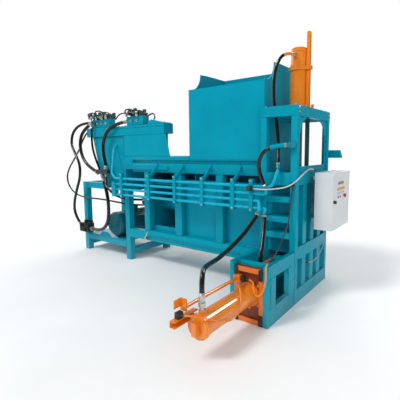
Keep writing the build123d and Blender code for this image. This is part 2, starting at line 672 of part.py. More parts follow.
def oil_tank():
    """Open-topped tank of plates, with a guard plate that runs on over the press chamber's front edge."""
    wall = TANK_WALL
    front = (-BODY_HALF + TANK_STEP, -BODY_HALF + TANK_STEP + wall)
    back = (TANK_BACK - wall, TANK_BACK)
    guard_y = (-BODY_HALF, -BODY_HALF + wall)
    side = [(TANK_LEFT_BOTTOM, STAND_TOP), (TANK_RIGHT, STAND_TOP), (TANK_RIGHT, TANK_TOP), (TANK_LEFT_TOP, TANK_TOP)]
    slant = [(TANK_LEFT_BOTTOM, STAND_TOP), (TANK_LEFT_BOTTOM + wall, STAND_TOP), (TANK_LEFT_TOP + wall, TANK_TOP),
             (TANK_LEFT_TOP, TANK_TOP)]
    guard = [(TANK_RIGHT, TANK_SHOULDER), (GUARD_RIGHT[0], TANK_SHOULDER), (GUARD_RIGHT[1], TANK_TOP),
             (TANK_RIGHT, TANK_TOP)]
    solids = [
        profile_xz(side, front),
        profile_xz(side, back),
        profile_xz(slant, (front[1], back[0])),
        block((TANK_LEFT_BOTTOM + wall, TANK_RIGHT), (front[1], back[0]), (STAND_TOP, STAND_TOP + wall)),
        block((TANK_RIGHT - wall, TANK_RIGHT), (front[1], back[0]), (STAND_TOP + wall, TANK_TOP)),
        profile_xz(guard, guard_y),
        block((TANK_RIGHT, TANK_RIGHT + wall), (guard_y[1], front[1]), (TANK_SHOULDER, TANK_TOP)),
    ]
    # Webs that hold the guard up from the chamber's deck
    for x in GUARD_WEBS:
        solids.append(block((x, x + wall), (guard_y[1], LID_FRONT_BACK - 4), (TANK_SHOULDER, TANK_TOP)))
    return solids


def lid_cover_outline():
    right = LID_RIGHT - 20
    return [(-1960, LID_TOP), (-1960, LID_TOP + 40), (-1900, LID_TOP + 62), (right, LID_TOP + 12), (right, LID_TOP)]


def tank_lid():
    """Hollow lid that closes the tank and runs on as a narrow valve shelf, with a sloping cover at its end."""
    y = (-BODY_HALF - 6, TANK_BACK + 6)
    wall_z = (TANK_TOP, LID_TOP - PLATE)
    top_z = (LID_TOP - PLATE, LID_TOP)
    inner_x = (LID_LEFT + PLATE, LID_DEEP - PLATE)
    inner_y = (y[0] + PLATE, y[1] - PLATE)
    shelf_back = (LID_FRONT_BACK - PLATE, LID_FRONT_BACK)
    filler = round_bar(along_z(*FILLER, LID_TOP - PLATE - 1), FILLER_R, PLATE + 2)
    skirt = block((LID_LEFT, LID_RIGHT), (y[0], inner_y[0]), wall_z)
    skirt = skirt - block((inner_x[0], LID_RIGHT - PLATE), (y[0] - 1, y[0] + 6), (TANK_TOP + 30, LID_TOP - 30))
    return [
        block((LID_LEFT, LID_DEEP), y, top_z) - filler,
        block((LID_DEEP, LID_RIGHT), (y[0], shelf_back[1]), top_z),
        skirt,
        block((LID_LEFT, LID_DEEP), (inner_y[1], y[1]), wall_z),
        block((LID_LEFT, inner_x[0]), inner_y, wall_z),
        block((inner_x[1], LID_DEEP), (shelf_back[0], inner_y[1]), wall_z),
        block((LID_DEEP, LID_RIGHT), shelf_back, wall_z),
        block((LID_RIGHT - PLATE, LID_RIGHT), (inner_y[0], shelf_back[0]), wall_z),
        block((inner_x[0], TANK_LEFT_TOP), inner_y, (TANK_TOP, TANK_TOP + PLATE)),
        profile_xz(lid_cover_outline(), (y[0] + 10, shelf_back[0])),
    ]


def filler_cap():
    """Breather cap whose spigot turns in the filler hole."""
    r = FILLER_R - RUN_GAP
    return [turned([(0, -20), (r, -20), (r, 0), (38, 0), (38, 14), (46, 14), (46, 44), (40, 50), (0, 50)],
                   along_z(*FILLER, LID_TOP + SEAT_GAP))]


MANIFOLDS = ((-3290, -2830), (-2430, -2090))
MANIFOLD_Y = (-400, -270)
MANIFOLD_HEIGHT = 130
VALVE_PITCH = 115


def valve_manifolds():
    z = (LID_TOP, LID_TOP + MANIFOLD_HEIGHT)
    solids = []
    for x in MANIFOLDS:
        solids.append(chamfer(block(x, MANIFOLD_Y, z).edges().filter_by(Axis.Z), 8))
    return solids


def solenoid_valves():
    """Directional valves on the manifolds, each with a round solenoid at both ends."""
    solids = []
    base = LID_TOP + MANIFOLD_HEIGHT
    centre = (MANIFOLD_Y[0] + MANIFOLD_Y[1]) / 2
    for x0, x1 in MANIFOLDS:
        count = int((x1 - x0) // VALVE_PITCH)
        start = (x0 + x1) / 2 - (count - 1) * VALVE_PITCH / 2
        for i in range(count):
            x = start + i * VALVE_PITCH
            body = block((x - 38, x + 38), (centre - 50, centre + 50), (base, base + 76))
            solids.append(body)
            for side in (-1, 1):
                y0 = centre + 50 if side > 0 else centre - 50 - 78
                coil = round_bar(along_y(x, y0, base + 38), 29, 78)
                plug = block((x - 16, x + 16), (y0 + 14, y0 + 54), (base + 50, base + 104))
                plug = plug - round_bar(along_y(x, y0 - 1, base + 38), 29, 80)
                solids += [coil, plug]
    return solids


# Motor, shaft, pump and filter block

def motor_body():
    """Finned frame with feet and terminal box, bored for its shaft."""
    length = 520
    y0 = MOTOR_FRONT + 130
    core = round_bar(along_y(MOTOR_X, y0, MOTOR_Z), MOTOR_R - 18, length)
    fin = Pos(0, 0, 0) * Box(6, length - 60, 2 * (MOTOR_R - 4))
    body = core
    for i in range(12):
        turn = Location((MOTOR_X, y0 + length / 2, MOTOR_Z), (0, i * 15, 0))
        body = body + turn * fin
    body = body + round_bar(along_y(MOTOR_X, y0, MOTOR_Z), MOTOR_R - 2, 30)
    body = body + round_bar(along_y(MOTOR_X, y0 + length - 30, MOTOR_Z), MOTOR_R - 2, 30)
    foot_z = MOTOR_Z - 180
    for x in (-140, 140):
        foot = block((MOTOR_X + x - 38, MOTOR_X + x + 38), (y0 + 60, y0 + length - 60), (foot_z, foot_z + 130))
        body = body + foot
    hollow = round_bar(along_y(MOTOR_X, y0 - 1, MOTOR_Z), SHAFT_R + RUN_GAP, length + 2)
    return [body - hollow, motor_terminal_box(y0)]


def motor_terminal_box(y0):
    box_z = (MOTOR_Z + MOTOR_R - 4, MOTOR_Z + MOTOR_R + 80)
    return block((MOTOR_X - 65, MOTOR_X + 65), (y0 + 150, y0 + 300), box_z)


def motor_cowl():
    """Fan cover with round air slots in its end."""
    y = MOTOR_FRONT
    shell = turned([(0, 0), (MOTOR_R - 22, 0), (MOTOR_R, 24), (MOTOR_R, 130), (MOTOR_R - 5, 130),
                    (MOTOR_R - 5, 27), (MOTOR_R - 25, 5), (0, 5)], along_y(MOTOR_X, y, MOTOR_Z))
    for ring, radius in enumerate((60, 95, 130)):
        count = 8 + 4 * ring
        for i in range(count):
            angle = 2 * math.pi * i / count
            place = along_y(MOTOR_X + radius * math.cos(angle), y - 1, MOTOR_Z + radius * math.sin(angle))
            shell = shell - round_bar(place, 9, 12)
    return [shell]


def motor_shaft():
    """Shaft with the fan at one end and the coupling hub at the other."""
    y0 = MOTOR_FRONT + 30
    end = MOTOR_FRONT + 130 + 520
    shaft = round_bar(along_y(MOTOR_X, y0, MOTOR_Z), SHAFT_R, end + 70 - y0)
    hub = round_bar(along_y(MOTOR_X, y0 + 20, MOTOR_Z), 55, 30)
    blades = []
    for i in range(7):
        turn = Location((MOTOR_X, y0 + 35, MOTOR_Z), (0, i * 360 / 7, 0))
        blades.append(turn * Pos(90, 0, 0) * Rot(32, 0, 0) * Box(90, 4, 36))
    fan = hub
    for blade in blades:
        fan = fan + blade
    coupling = round_bar(along_y(MOTOR_X, end + 14, MOTOR_Z), 52, 56)
    return [shaft + fan + coupling]


def pump():
    """Bell housing round the coupling, with the gear pump on its end."""
    y = MOTOR_FRONT + 130 + 520
    bell = turned([(62, 0), (150, 0), (150, 18), (100, 30), (100, 92), (62, 92)],
                  along_y(MOTOR_X, y, MOTOR_Z))
    body = block((MOTOR_X - 72, MOTOR_X + 72), (y + 92, y + 124), (MOTOR_Z - 90, MOTOR_Z + 90))
    end = block((MOTOR_X - 60, MOTOR_X + 60), (y + 124, y + 190), (MOTOR_Z - 76, MOTOR_Z + 76))
    return [bell, body, end]


BLOCK_X = (-3480, -3260)
BLOCK_Y = (-560, -436)
BLOCK_Z = (330, 470)


def pump_block():
    """Dark hydraulic block on the front of the stand's left leg."""
    body = chamfer(block(BLOCK_X, BLOCK_Y, BLOCK_Z).edges().filter_by(Axis.Y), 14)
    plug = round_bar(Location((-3420, BLOCK_Y[0], 430), (90, 0, 0)), 22, 26)
    knob = round_bar(Location((-3330, BLOCK_Y[0], 370), (90, 0, 0)), 28, 34)
    cap = round_bar(along_z(-3390, -500, BLOCK_Z[1]), 24, 46)
    seat = block((BLOCK_X[0], BLOCK_X[1] - 40), (BLOCK_Y[1], -BODY_HALF), (300, 500))
    return [body, plug, knob, cap, seat]


# Pipes, hoses and cables

def bend_radii(points, longest=0.45):
    """Radius at each corner: as large as its two runs allow."""
    radii = []
    for before, here, after in zip(points, points[1:], points[2:]):
        into = Vector(*here) - Vector(*before)
        out = Vector(*after) - Vector(*here)
        turn = math.radians(into.get_angle(out))
        radii.append(longest * min(into.length, out.length) / math.tan(turn / 2))
    return radii


def swept(points, diameter, radii):
    path = FilletPolyline(*points, radius=radii)
    section = Plane(origin=path @ 0, z_dir=path % 0) * Circle(diameter / 2)
    return sweep(section, path=path)


def cord(points, diameter):
    """Hose or cable along its route, with arcs as large as the runs allow."""
    return swept(points, diameter, bend_radii(points))


HOSES = {
    "hose_block_to_tee": (MAIN_HOSE, [
        (-3195, -500, 385), (-2985, -505, 378), (-2790, -520, 520), (-2735, -535, 760), (-2765, -530, 985),
        (-2850, -517, 1170)]),
    "hose_tee_to_pipes": (MID_HOSE, [
        (-2788, -522, 1238), (-2768, -548, 1160), (-2695, -592, 1098), (-2600, -600, 1083)]),
    "hose_tee_to_left_valves": (MAIN_HOSE, [
        (-3035, -515, 1318), (-3240, -512, 1390), (-3430, -495, 1560), (-3505, -470, 1780),
        (-3470, -425, 1960), (-3352, -380, 2046)]),
    "hose_tee_to_right_valves": (MAIN_HOSE, [
        (-2790, -515, 1400), (-2855, -505, 1560), (-2880, -492, 1730), (-2815, -488, 1885),
        (-2665, -478, 2000), (-2486, -400, 2048)]),
    "hose_left_valves_to_block": (RETURN_HOSE, [
        (-3352, -312, 2092), (-3560, -385, 2090), (-3735, -440, 1955), (-3735, -480, 1755),
        (-3590, -505, 1590), (-3440, -530, 1430), (-3430, -540, 1220), (-3555, -535, 1000),
        (-3660, -525, 780), (-3670, -515, 580), (-3556, -503, 452)]),
    "hose_valves_to_main_rear": (THIN_HOSE, [
        (-3348, -302, 2016), (-3470, -330, 1955), (-3560, -365, 1830), (-3620, -400, 1670),
        (-3730, -430, 1510), (-3880, -450, 1350), (-3950, -460, 1180), (-3860, -465, 1010),
        (-3640, -468, 900), (-3330, -470, 875), (-3000, -465, 880), (-2740, -400, 850),
        (-2560, -260, 800), (-2450, -135, 790)]),
    "hose_valves_to_main_front": (MID_HOSE, [
        (-3175, -466, 1990), (-3195, -466, 1760), (-3130, -462, 1540), (-3010, -452, 1310),
        (-2870, -475, 1085), (-2700, -410, 930), (-2540, -260, 880), (-2420, -150, 878)]),
    "hose_press_top": (MID_HOSE, [
        (0, -170, 2630), (-35, -330, 2625), (-90, -410, 2450), (-105, -408, 2240), (-95, -395, 2050),
        (-62, -396, 1860), (-28, -430, 1640), (8, -512, 1478)]),
    "hose_press_bottom": (THICK_HOSE, [
        (-95, -620, 1265), (-155, -645, 1405), (-125, -655, 1560), (-30, -625, 1650), (88, -556, 1657)]),
    "hose_push_rear": (THICK_HOSE, [
        (-122, -722, 950), (-160, -850, 815), (-195, -1060, 700), (-190, -1310, 640), (-120, -1550, 665),
        (-50, -1720, 690), (-5, -1800, 640), (0, -1807, 535)]),
    "hose_push_front": (THICK_HOSE, [
        (-72, -650, 925), (-50, -705, 810), (-20, -790, 690), (-2, -860, 590), (0, -870, 500)]),
}

CABLES = {
    "cable_control": [
        (250, -150, 1400), (246, -240, 1420), (236, -390, 1375), (222, -520, 1310), (150, -590, 1245),
        (30, -632, 1222), (-90, -658, 1212), (-196, -655, 1215)],
    "cable_push_front": [
        (165, -512, 1212), (150, -516, 1060), (142, -530, 880), (134, -610, 775), (130, -730, 665),
        (150, -880, 612), (166, -1010, 604), (190, -1130, 592), (210, -1158, 470), (192, -1192, 360),
        (142, -1218, 325), (102, -1198, 395), (78, -1140, 428), (26, -1127, 432)],
    "cable_push_rear": [
        (-38, -1176, 424), (-16, -1255, 430), (60, -1335, 398), (110, -1420, 300), (116, -1530, 245),
        (112, -1650, 270), (104, -1760, 325), (82, -1860, 372), (25, -1925, 398), (-50, -1962, 398)],
    "cable_chamber": [
        (262, 150, 735), (280, 205, 620), (266, 190, 500), (246, 90, 405), (222, -40, 352), (196, -104, 362)],
}

TEE_X = (-2985, -2735)
TEE_Y = (-545, -485)
TEE_Z = (1290, 1350)
JUNCTION_X = (-2530, PIPE_LEFT)


def seat_direction(points, at_start):
    """Unit vector from the hose's end into its fitting."""
    end, inner = (points[0], points[1]) if at_start else (points[-1], points[-2])
    return (Vector(*end) - Vector(*inner)).normalized()


def end_fitting(points, diameter, at_start, length, carriers):
    """Crimped ferrule, nut and stub on a hose's end, trimmed where it meets its carrier."""
    end = points[0] if at_start else points[-1]
    towards = seat_direction(points, at_start)
    place = Plane(origin=end, z_dir=towards).location
    r = diameter / 2
    section = [(0, 0), (r * 1.18, 0), (r * 1.18, length * 0.4), (r * 0.85, length * 0.42), (r * 0.85, length * 0.5),
               (r * 1.32, length * 0.5), (r * 1.32, length * 0.72), (r * 0.72, length * 0.72), (r * 0.72, length),
               (0, length)]
    return minus(turned(section, place), carriers)


PIPE_ROUTES = (
    ([(-2672, -385, 1728), (-2650, -470, 1650), (-2560, -590, 1300), (-2470, PIPE_Y, PIPE_HEIGHTS[0]),
      (-15, PIPE_Y, PIPE_HEIGHTS[0]), (23.6, -547, 1408)], (30, 60, 60, 60)),
    ([(PIPE_LEFT, PIPE_Y, PIPE_HEIGHTS[1]), (-70, PIPE_Y, PIPE_HEIGHTS[1]), (-80, -608, 1220)], (26,)),
    ([(PIPE_LEFT, PIPE_Y, PIPE_HEIGHTS[2]), (-160, PIPE_Y, PIPE_HEIGHTS[2]), (-111, -684, 990)], (40,)),
    ([(PIPE_LEFT, PIPE_Y, PIPE_HEIGHTS[3]), (-85, PIPE_Y, PIPE_HEIGHTS[3]), (-80, -628, 970)], (18,)),
)


def steel_pipes():
    """Four pipes along the front, bent at their right ends; the top one returns to the tank."""
    pipes = [swept(points, PIPE_D, list(radii)) for points, radii in PIPE_ROUTES]
    return [minus(pipes[0], [tank_outline()])] + pipes[1:]


def pipe_clamps():
    """Clamp blocks that hold the four pipes, their cleats, and the junction block at their left end."""
    z = (PIPE_HEIGHTS[-1] - 38, CLAMP_TOP)
    y = (PIPE_Y - 26, PIPE_Y + CLAMP_BACK)
    holes = [round_bar(along_x(-2445, PIPE_Y, h), PIPE_D / 2, 2400) for h in PIPE_HEIGHTS]
    left = PIPE_LEFT + 120
    solids = [minus(block((x - 22, x + 22), y, z), holes)
              for x in (left,) + BRACE_CENTRES + (THIN_BRACE, THIN_BRACE + 230)]
    # Flat cleat on the stand's corner leg, with an arm out to the left clamp
    cleat_z = (1060, 1120)
    solids.append(block((STAND_RIGHT - LEG + 10, left + 22), (-BODY_HALF - PLATE, -BODY_HALF), cleat_z))
    solids.append(block((left - 22, left + 22), (y[1], -BODY_HALF - PLATE), cleat_z))
    solids.append(block(JUNCTION_X, (PIPE_Y - 30, PIPE_Y + 30), (PIPE_HEIGHTS[3] - 30, PIPE_HEIGHTS[1] + 30)))
    return solids


def tee_block():
    return block(TEE_X, TEE_Y, TEE_Z)


def valve_elbow():
    """Elbow on the front of the left manifold, over the edge of the lid."""
    return block((-3202, -3148), (MANIFOLD_Y[0] - 92, MANIFOLD_Y[0]), (LID_TOP + 45, LID_TOP + 100))


def post_connector():
    """Connector on the gantry's front post, behind which the press cylinder's lower port lies."""
    return block((140, 190), (-HALF_D - 46, -HALF_D), (1632, 1684))


def hose_fittings():
    """Fitting on both ends of every hose, with the blocks and elbows that they screw into."""
    manifolds = valve_manifolds()
    pipes = steel_pipes()
    press, push, main = press_cylinder(), push_cylinder(), main_cylinder()
    block_body = pump_block()
    junction = pipe_clamps()[-1:]
    ends = {
        "hose_block_to_tee": ((90, block_body), (150, [tee_block()])),
        "hose_tee_to_pipes": ((70, [tee_block()]), (80, junction)),
        "hose_tee_to_left_valves": ((80, [tee_block()]), (90, manifolds)),
        "hose_tee_to_right_valves": ((64, [tee_block()]), (80, manifolds)),
        "hose_left_valves_to_block": ((90, manifolds), (120, block_body)),
        "hose_valves_to_main_rear": ((80, manifolds), (88, main)),
        "hose_valves_to_main_front": ((60, [valve_elbow()]), (90, main)),
        "hose_press_top": ((60, press), (84, pipes)),
        "hose_press_bottom": ((54, pipes), (80, [post_connector()])),
        "hose_push_rear": ((56, pipes), (150, push)),
        "hose_push_front": ((56, pipes), (104, push)),
    }
    solids = [tee_block(), valve_elbow(), post_connector()]
    solids.append(block((-2900, -2860), (TEE_Y[1], -BODY_HALF + TANK_STEP), (TEE_Z[0] + 10, TEE_Z[1] - 10)))
    for name, (first, last) in ends.items():
        diameter, points = HOSES[name]
        solids.append(end_fitting(points, diameter, True, *first))
        solids.append(end_fitting(points, diameter, False, *last))
    # Port fitting seen through the window of the press chamber
    port = round_bar(Location((-1720, -MAIN_R + 10, MAIN_AXIS_Z + 20), (90, 0, 0)), 24, 50)
    solids.append(minus(port, main))
    # Drain valve on the sill
    solids.append(round_bar(Location((DRAIN_X, -BODY_HALF, DRAIN_Z), (90, 0, 0)), 17, 44))
    return solids


DRAIN_X = -2030
DRAIN_Z = 392


def drain_lever():
    """Handle of the drain valve, turning about its hub."""
    y = -BODY_HALF - 44 - SEAT_GAP
    hub = round_bar(Location((DRAIN_X, y, DRAIN_Z), (90, 0, 0)), 14, 16)
    arm = Location((DRAIN_X, y - 8, DRAIN_Z), (0, -58, 0)) * Pos(55, 0, 0) * Box(110, 7, 16)
    return [hub + arm]


# Switches, glands and control cabinet

CABINET_X = (HALF_W + CABINET_STAND_OFF, HALF_W + CABINET_STAND_OFF + CABINET_DEPTH)
DOOR_X = (CABINET_X[1] - DOOR, CABINET_X[1])
HINGE = (DOOR_X[0] + 10, CABINET_Y[1] + 8)
HINGE_R = 8
HINGE_PIN = 4
HINGE_HEIGHTS = (CABINET_Z[0] + 90, CABINET_Z[1] - 150)
LOCK = (CABINET_Y[0] + 36, (CABINET_Z[0] + CABINET_Z[1]) / 2)
LAMP_ROW = 1190
BUTTON_ROW = 1110
ROW_Y = (-60, 10, 80, 150)
BUTTON_R = 12
STOP_R = 20


def switch_front():
    x = (INDICATOR_X + 34, INDICATOR_X + 72)
    return block(x, (BOX_FRONT - 40, BOX_FRONT - 4), (INDICATOR_Z - 26, INDICATOR_Z + 26))


def switch_rear():
    return block((INDICATOR_X - 20, INDICATOR_X + 20), (-1990, -1934), (366, 414))


def switch_chamber():
    wall = INNER_W + PLATE
    return block((wall, wall + 34), (-168, -108), (342, 400))


def switch_pressure():
    x = THIN_BRACE + 230
    return block((x - 22, x + 22), (PIPE_Y - 76, PIPE_Y - 26), (1190, 1242))


def cable_clip():
    return block((150, 180), (-HALF_D - 30, -HALF_D), (1240, 1286))


def sensors_and_glands():
    """Limit and pressure switches, and the gland at each end of every cable."""
    cabinet = cabinet_walls()
    ends = {
        "cable_control": (cabinet, [switch_pressure()]),
        "cable_push_front": ([cable_clip()], [switch_front()]),
        "cable_push_rear": ([switch_front()], [switch_rear()]),
        "cable_chamber": (cabinet, [switch_chamber()]),
    }
    solids = [switch_front(), switch_rear(), switch_chamber(), switch_pressure(), cable_clip()]
    for name, (first, last) in ends.items():
        points = CABLES[name]
        solids.append(end_fitting(points, CABLE_D, True, 60, first))
        solids.append(end_fitting(points, CABLE_D, False, 60, last))
    return solids


def cabinet_walls():
    """Back, floor, roof and sides of the cabinet."""
    wall = 8
    back = (CABINET_X[0], CABINET_X[0] + wall)
    deep = (back[1], DOOR_X[0])
    inner_z = (CABINET_Z[0] + wall, CABINET_Z[1] - wall)
    return [
        block(back, CABINET_Y, CABINET_Z),
        block(deep, CABINET_Y, (CABINET_Z[0], inner_z[0])),
        block(deep, CABINET_Y, (inner_z[1], CABINET_Z[1])),
        block(deep, (CABINET_Y[0], CABINET_Y[0] + wall), inner_z),
        block(deep, (CABINET_Y[1] - wall, CABINET_Y[1]), inner_z),
    ]


def cabinet_body():
    """Steel box with its stand-off bars, hinge pins, and the gear on its back plate."""
    solids = cabinet_walls()
    for z in HINGE_HEIGHTS:
        leaf = block((DOOR_X[0] - 30, HINGE[0]), (CABINET_Y[1], CABINET_Y[1] + 3), (z, z + 30))
        knuckle = round_bar(along_z(*HINGE, z), HINGE_R, 30)
        pin = round_bar(along_z(*HINGE, z + 30), HINGE_PIN, 30)
        solids.append(leaf + knuckle + pin)
    for y in (0, RIB_PITCH):
        bar_y = (y - 20, y + 20)
        solids.append(block((HALF_W, CABINET_X[0]), bar_y, (LEDGE_BOTTOM + 30, LEDGE_BOTTOM + 70)))
        solids.append(block((HALF_W - 8, CABINET_X[0]), bar_y, (CABINET_Z[0] + 40, CABINET_Z[0] + 80)))
    back = CABINET_X[0] + 8
    solids.append(block((back, back + 4), (CABINET_Y[0] + 50, CABINET_Y[1] - 50), (CABINET_Z[0] + 60, CABINET_Z[1] - 60)))
    for row, height in enumerate((90, 110, 70)):
        z = CABINET_Z[0] + 110 + row * 160
        for i in range(5 - row):
            y = CABINET_Y[0] + 90 + i * 84
            solids.append(block((back + 4, back + 74), (y, y + 62), (z, z + height)))
    return solids


def cabinet_door():
    """Door with its hinge knuckles and the holes for the controls."""
    door = block((DOOR_X[0] + 0.5, DOOR_X[1]), (CABINET_Y[0], CABINET_Y[1]), CABINET_Z)
    door = chamfer(door.edges().filter_by(Axis.X), 6)
    for z in HINGE_HEIGHTS:
        knuckle = round_bar(along_z(*HINGE, z + 30 + SEAT_GAP), HINGE_R, 30)
        bridge = block((HINGE[0] - 4, HINGE[0] + 8), (CABINET_Y[1] - 6, HINGE[1]), (z + 30 + SEAT_GAP, z + 60))
        door = door + knuckle + bridge
        door = door - round_bar(along_z(*HINGE, z + 29), HINGE_PIN + RUN_GAP, 40)
    holes = [(y, BUTTON_ROW, BUTTON_R) for y in ROW_Y[:2]] + [(ROW_Y[3], BUTTON_ROW, STOP_R - 6)]
    holes.append((*LOCK, 9))
    for y, z, r in holes:
        door = door - round_bar(along_x(DOOR_X[0] - 1, y, z), r + RUN_GAP, DOOR + 2)
    for y, z, r in holes[:3]:
        bezel = turned([(r + RUN_GAP, 0), (r + 6, 0), (r + 5, 5), (r + RUN_GAP, 5)], along_x(DOOR_X[1], y, z))
        door = door + bezel
    return [door]


def door_lock():
    """Quarter-turn lock: knob, spindle and cam."""
    y, z = LOCK
    spindle = round_bar(along_x(DOOR_X[0] - 6, y, z), 9, DOOR + 6 + SEAT_GAP)
    knob = round_bar(along_x(DOOR_X[1] + SEAT_GAP, y, z), 17, 12)
    wing = block((DOOR_X[1] + 12, DOOR_X[1] + 28), (y - 4, y + 4), (z - 16, z + 16))
    cam = block((DOOR_X[0] - 12, DOOR_X[0] - 6), (y - 24, y + 9), (z - 9, z + 9))
    return [spindle + knob + wing + cam]


def pilot_lamps():
    return [turned([(0, 0), (15, 0), (15, 4), (11, 6), (11, 12), (8, 15), (0, 15)], along_x(DOOR_X[1], y, LAMP_ROW))
            for y in ROW_Y]


def push_button(y, radius, cap, height):
    """Button whose stem slides in the door."""
    stem = round_bar(along_x(DOOR_X[0] + 2, y, BUTTON_ROW), radius, DOOR + 4)
    head = turned([(0, 0), (cap, 0), (cap, height - 3), (cap - 3, height), (0, height)],
                  along_x(DOOR_X[1] + 6, y, BUTTON_ROW))
    return [stem + head]


def start_button():
    return push_button(ROW_Y[0], BUTTON_R, BUTTON_R, 8)


def stop_button():
    return push_button(ROW_Y[1], BUTTON_R, BUTTON_R, 8)


def emergency_stop():
    y = ROW_Y[3]
    stem = round_bar(along_x(DOOR_X[0] + 2, y, BUTTON_ROW), STOP_R - 6, DOOR + 12)
    head = turned([(0, 0), (STOP_R, 0), (STOP_R + 3, 5), (STOP_R, 13), (10, 18), (0, 18)],
                  along_x(DOOR_X[1] + 14, y, BUTTON_ROW))
    return [stem + head]


BUILDERS = {
    "stand_frame": stand_frame,
    "chamber_frame": chamber_frame,
    "chamber_panels": chamber_panels,
    "hopper": hopper,
    "gantry_frame": gantry_frame,
    "gantry_panels": gantry_panels,
    "gantry_head": gantry_head,
    "bale_chamber": bale_chamber,
    "push_box_frame": push_box_frame,
    "push_mount_plate": push_mount_plate,
    "outlet_collar": outlet_collar,
    "main_cylinder": main_cylinder,
    "main_rod": main_rod,
    "main_platen": main_platen,
    "press_cylinder": press_cylinder,
    "press_rod": press_rod,
    "press_platen": press_platen,
    "press_indicator": press_indicator,
    "push_cylinder": push_cylinder,
    "push_rod": push_rod,
    "push_platen": push_platen,
    "push_indicator": push_indicator,
    "push_guide": push_guide,
    "oil_tank": oil_tank,
    "tank_lid": tank_lid,
    "filler_cap": filler_cap,
    "valve_manifolds": valve_manifolds,
    "solenoid_valves": solenoid_valves,
    "motor_body": motor_body,
    "motor_cowl": motor_cowl,
    "motor_shaft": motor_shaft,
    "pump": pump,
    "pump_block": pump_block,
    "steel_pipes": steel_pipes,
    "pipe_clamps": pipe_clamps,
    "hose_fittings": hose_fittings,
    "drain_lever": drain_lever,
    "sensors_and_glands": sensors_and_glands,
    "cabinet_body": cabinet_body,
    "cabinet_door": cabinet_door,
    "door_lock": door_lock,
    "pilot_lamps": pilot_lamps,
    "start_button": start_button,
    "stop_button": stop_button,
    "emergency_stop": emergency_stop,
}


def write(name, solids):
    part = Compound(children=[s for group in solids for s in group.solids()])
    export_step(part, f"parts/{name}.step")


os.makedirs("parts", exist_ok=True)
for name, make in BUILDERS.items():
    write(name, make())
for name, (diameter, points) in HOSES.items():
    print(name, [round(r) for r in bend_radii(points)])
    write(name, [cord(points, diameter)])
for name, points in CABLES.items():
    print(name, [round(r) for r in bend_radii(points)])
    write(name, [cord(points, CABLE_D)])
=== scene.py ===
"""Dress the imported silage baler: finishes, hoses, fasteners, welds and the photograph's view."""

from __future__ import annotations

import logging
import math
from dataclasses import dataclass
from enum import Enum
from typing import Sequence

import bmesh
import bpy
from mathutils import Matrix, Vector

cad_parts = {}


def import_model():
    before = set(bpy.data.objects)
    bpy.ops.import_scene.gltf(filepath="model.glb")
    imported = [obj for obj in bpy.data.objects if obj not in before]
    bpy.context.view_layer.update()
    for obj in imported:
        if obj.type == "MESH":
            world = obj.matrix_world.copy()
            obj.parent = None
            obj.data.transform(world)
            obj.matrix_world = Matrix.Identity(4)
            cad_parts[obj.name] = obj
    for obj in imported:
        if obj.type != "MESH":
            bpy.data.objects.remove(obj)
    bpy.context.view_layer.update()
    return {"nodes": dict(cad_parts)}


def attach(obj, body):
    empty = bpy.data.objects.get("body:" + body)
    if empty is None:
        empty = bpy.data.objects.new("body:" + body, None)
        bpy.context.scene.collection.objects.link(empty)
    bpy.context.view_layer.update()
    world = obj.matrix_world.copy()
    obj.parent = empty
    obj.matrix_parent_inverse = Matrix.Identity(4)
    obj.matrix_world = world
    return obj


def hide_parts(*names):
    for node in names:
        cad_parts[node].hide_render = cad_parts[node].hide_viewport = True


LOG = logging.getLogger("silage_baler")
Point = tuple[float, float, float]
Colour = tuple[int, int, int]
Profile = tuple[tuple[float, float], ...]
Inputs = dict[str | int, object]
Socket = bpy.types.NodeSocket
Material = bpy.types.Material
Piece = bpy.types.Object
Tree = bpy.types.NodeTree

# Corners of the CAD's loose triangles nearer than this are one corner
MERGE_DISTANCE = 0.00002
EVEN = (1.0, 1.0, 1.0)


class Axis(Enum):
    """Unit directions of the shared frame."""

    RIGHT = (1.0, 0.0, 0.0)
    LEFT = (-1.0, 0.0, 0.0)
    BACK = (0.0, 1.0, 0.0)
    FRONT = (0.0, -1.0, 0.0)
    UP = (0.0, 0.0, 1.0)


def direction(along: Axis | Point) -> Point:
    """Give the three numbers of a named or free direction."""
    return along.value if isinstance(along, Axis) else along


def linear(red: int, green: int, blue: int) -> tuple[float, float, float, float]:
    """Turn a screen colour of 0 to 255 into Blender's linear colour."""
    shares = (level / 255 for level in (red, green, blue))
    return (*(c / 12.92 if c <= 0.04045 else ((c + 0.055) / 1.055) ** 2.4 for c in shares), 1.0)


# Finishes


class Bench:
    """A node tree with short calls for what materials, sky and geometry trees share."""

    def __init__(self, tree: Tree) -> None:
        """Work on this tree."""
        self.tree = tree

    def feed(self, target: Socket, value: object) -> None:
        """Link a socket to a target, or set a plain value on it."""
        if isinstance(value, Socket):
            self.tree.links.new(value, target)
        else:
            target.default_value = value

    def node(self, kind: str, inputs: Inputs | None = None, **settings: object) -> bpy.types.Node:
        """Add a node.

        Args:
            kind: Blender's node type.
            inputs: Sockets or plain values, by the name or number of the input they go to.
            **settings: The node's own properties, set first.

        Returns:
            The new node.
        """
        made = self.tree.nodes.new(kind)
        for key, value in settings.items():
            setattr(made, key, value)
        for key, value in (inputs or {}).items():
            self.feed(made.inputs[key], value)
        return made

    def math(self, kind: str, first: object, second: object) -> Socket:
        """Give the result of a math node."""
        return self.node("ShaderNodeMath", {0: first, 1: second}, operation=kind).outputs[0]

    def band(self, value: Socket, low: float, high: float, start: float = 0.0, end: float = 1.0) -> Socket:
        """Map the range low to high of a value onto start to end, clamped."""
        limits = {"From Min": low, "From Max": high, "To Min": start, "To Max": end}
        return self.node("ShaderNodeMapRange", {**limits, "Value": value}).outputs["Result"]


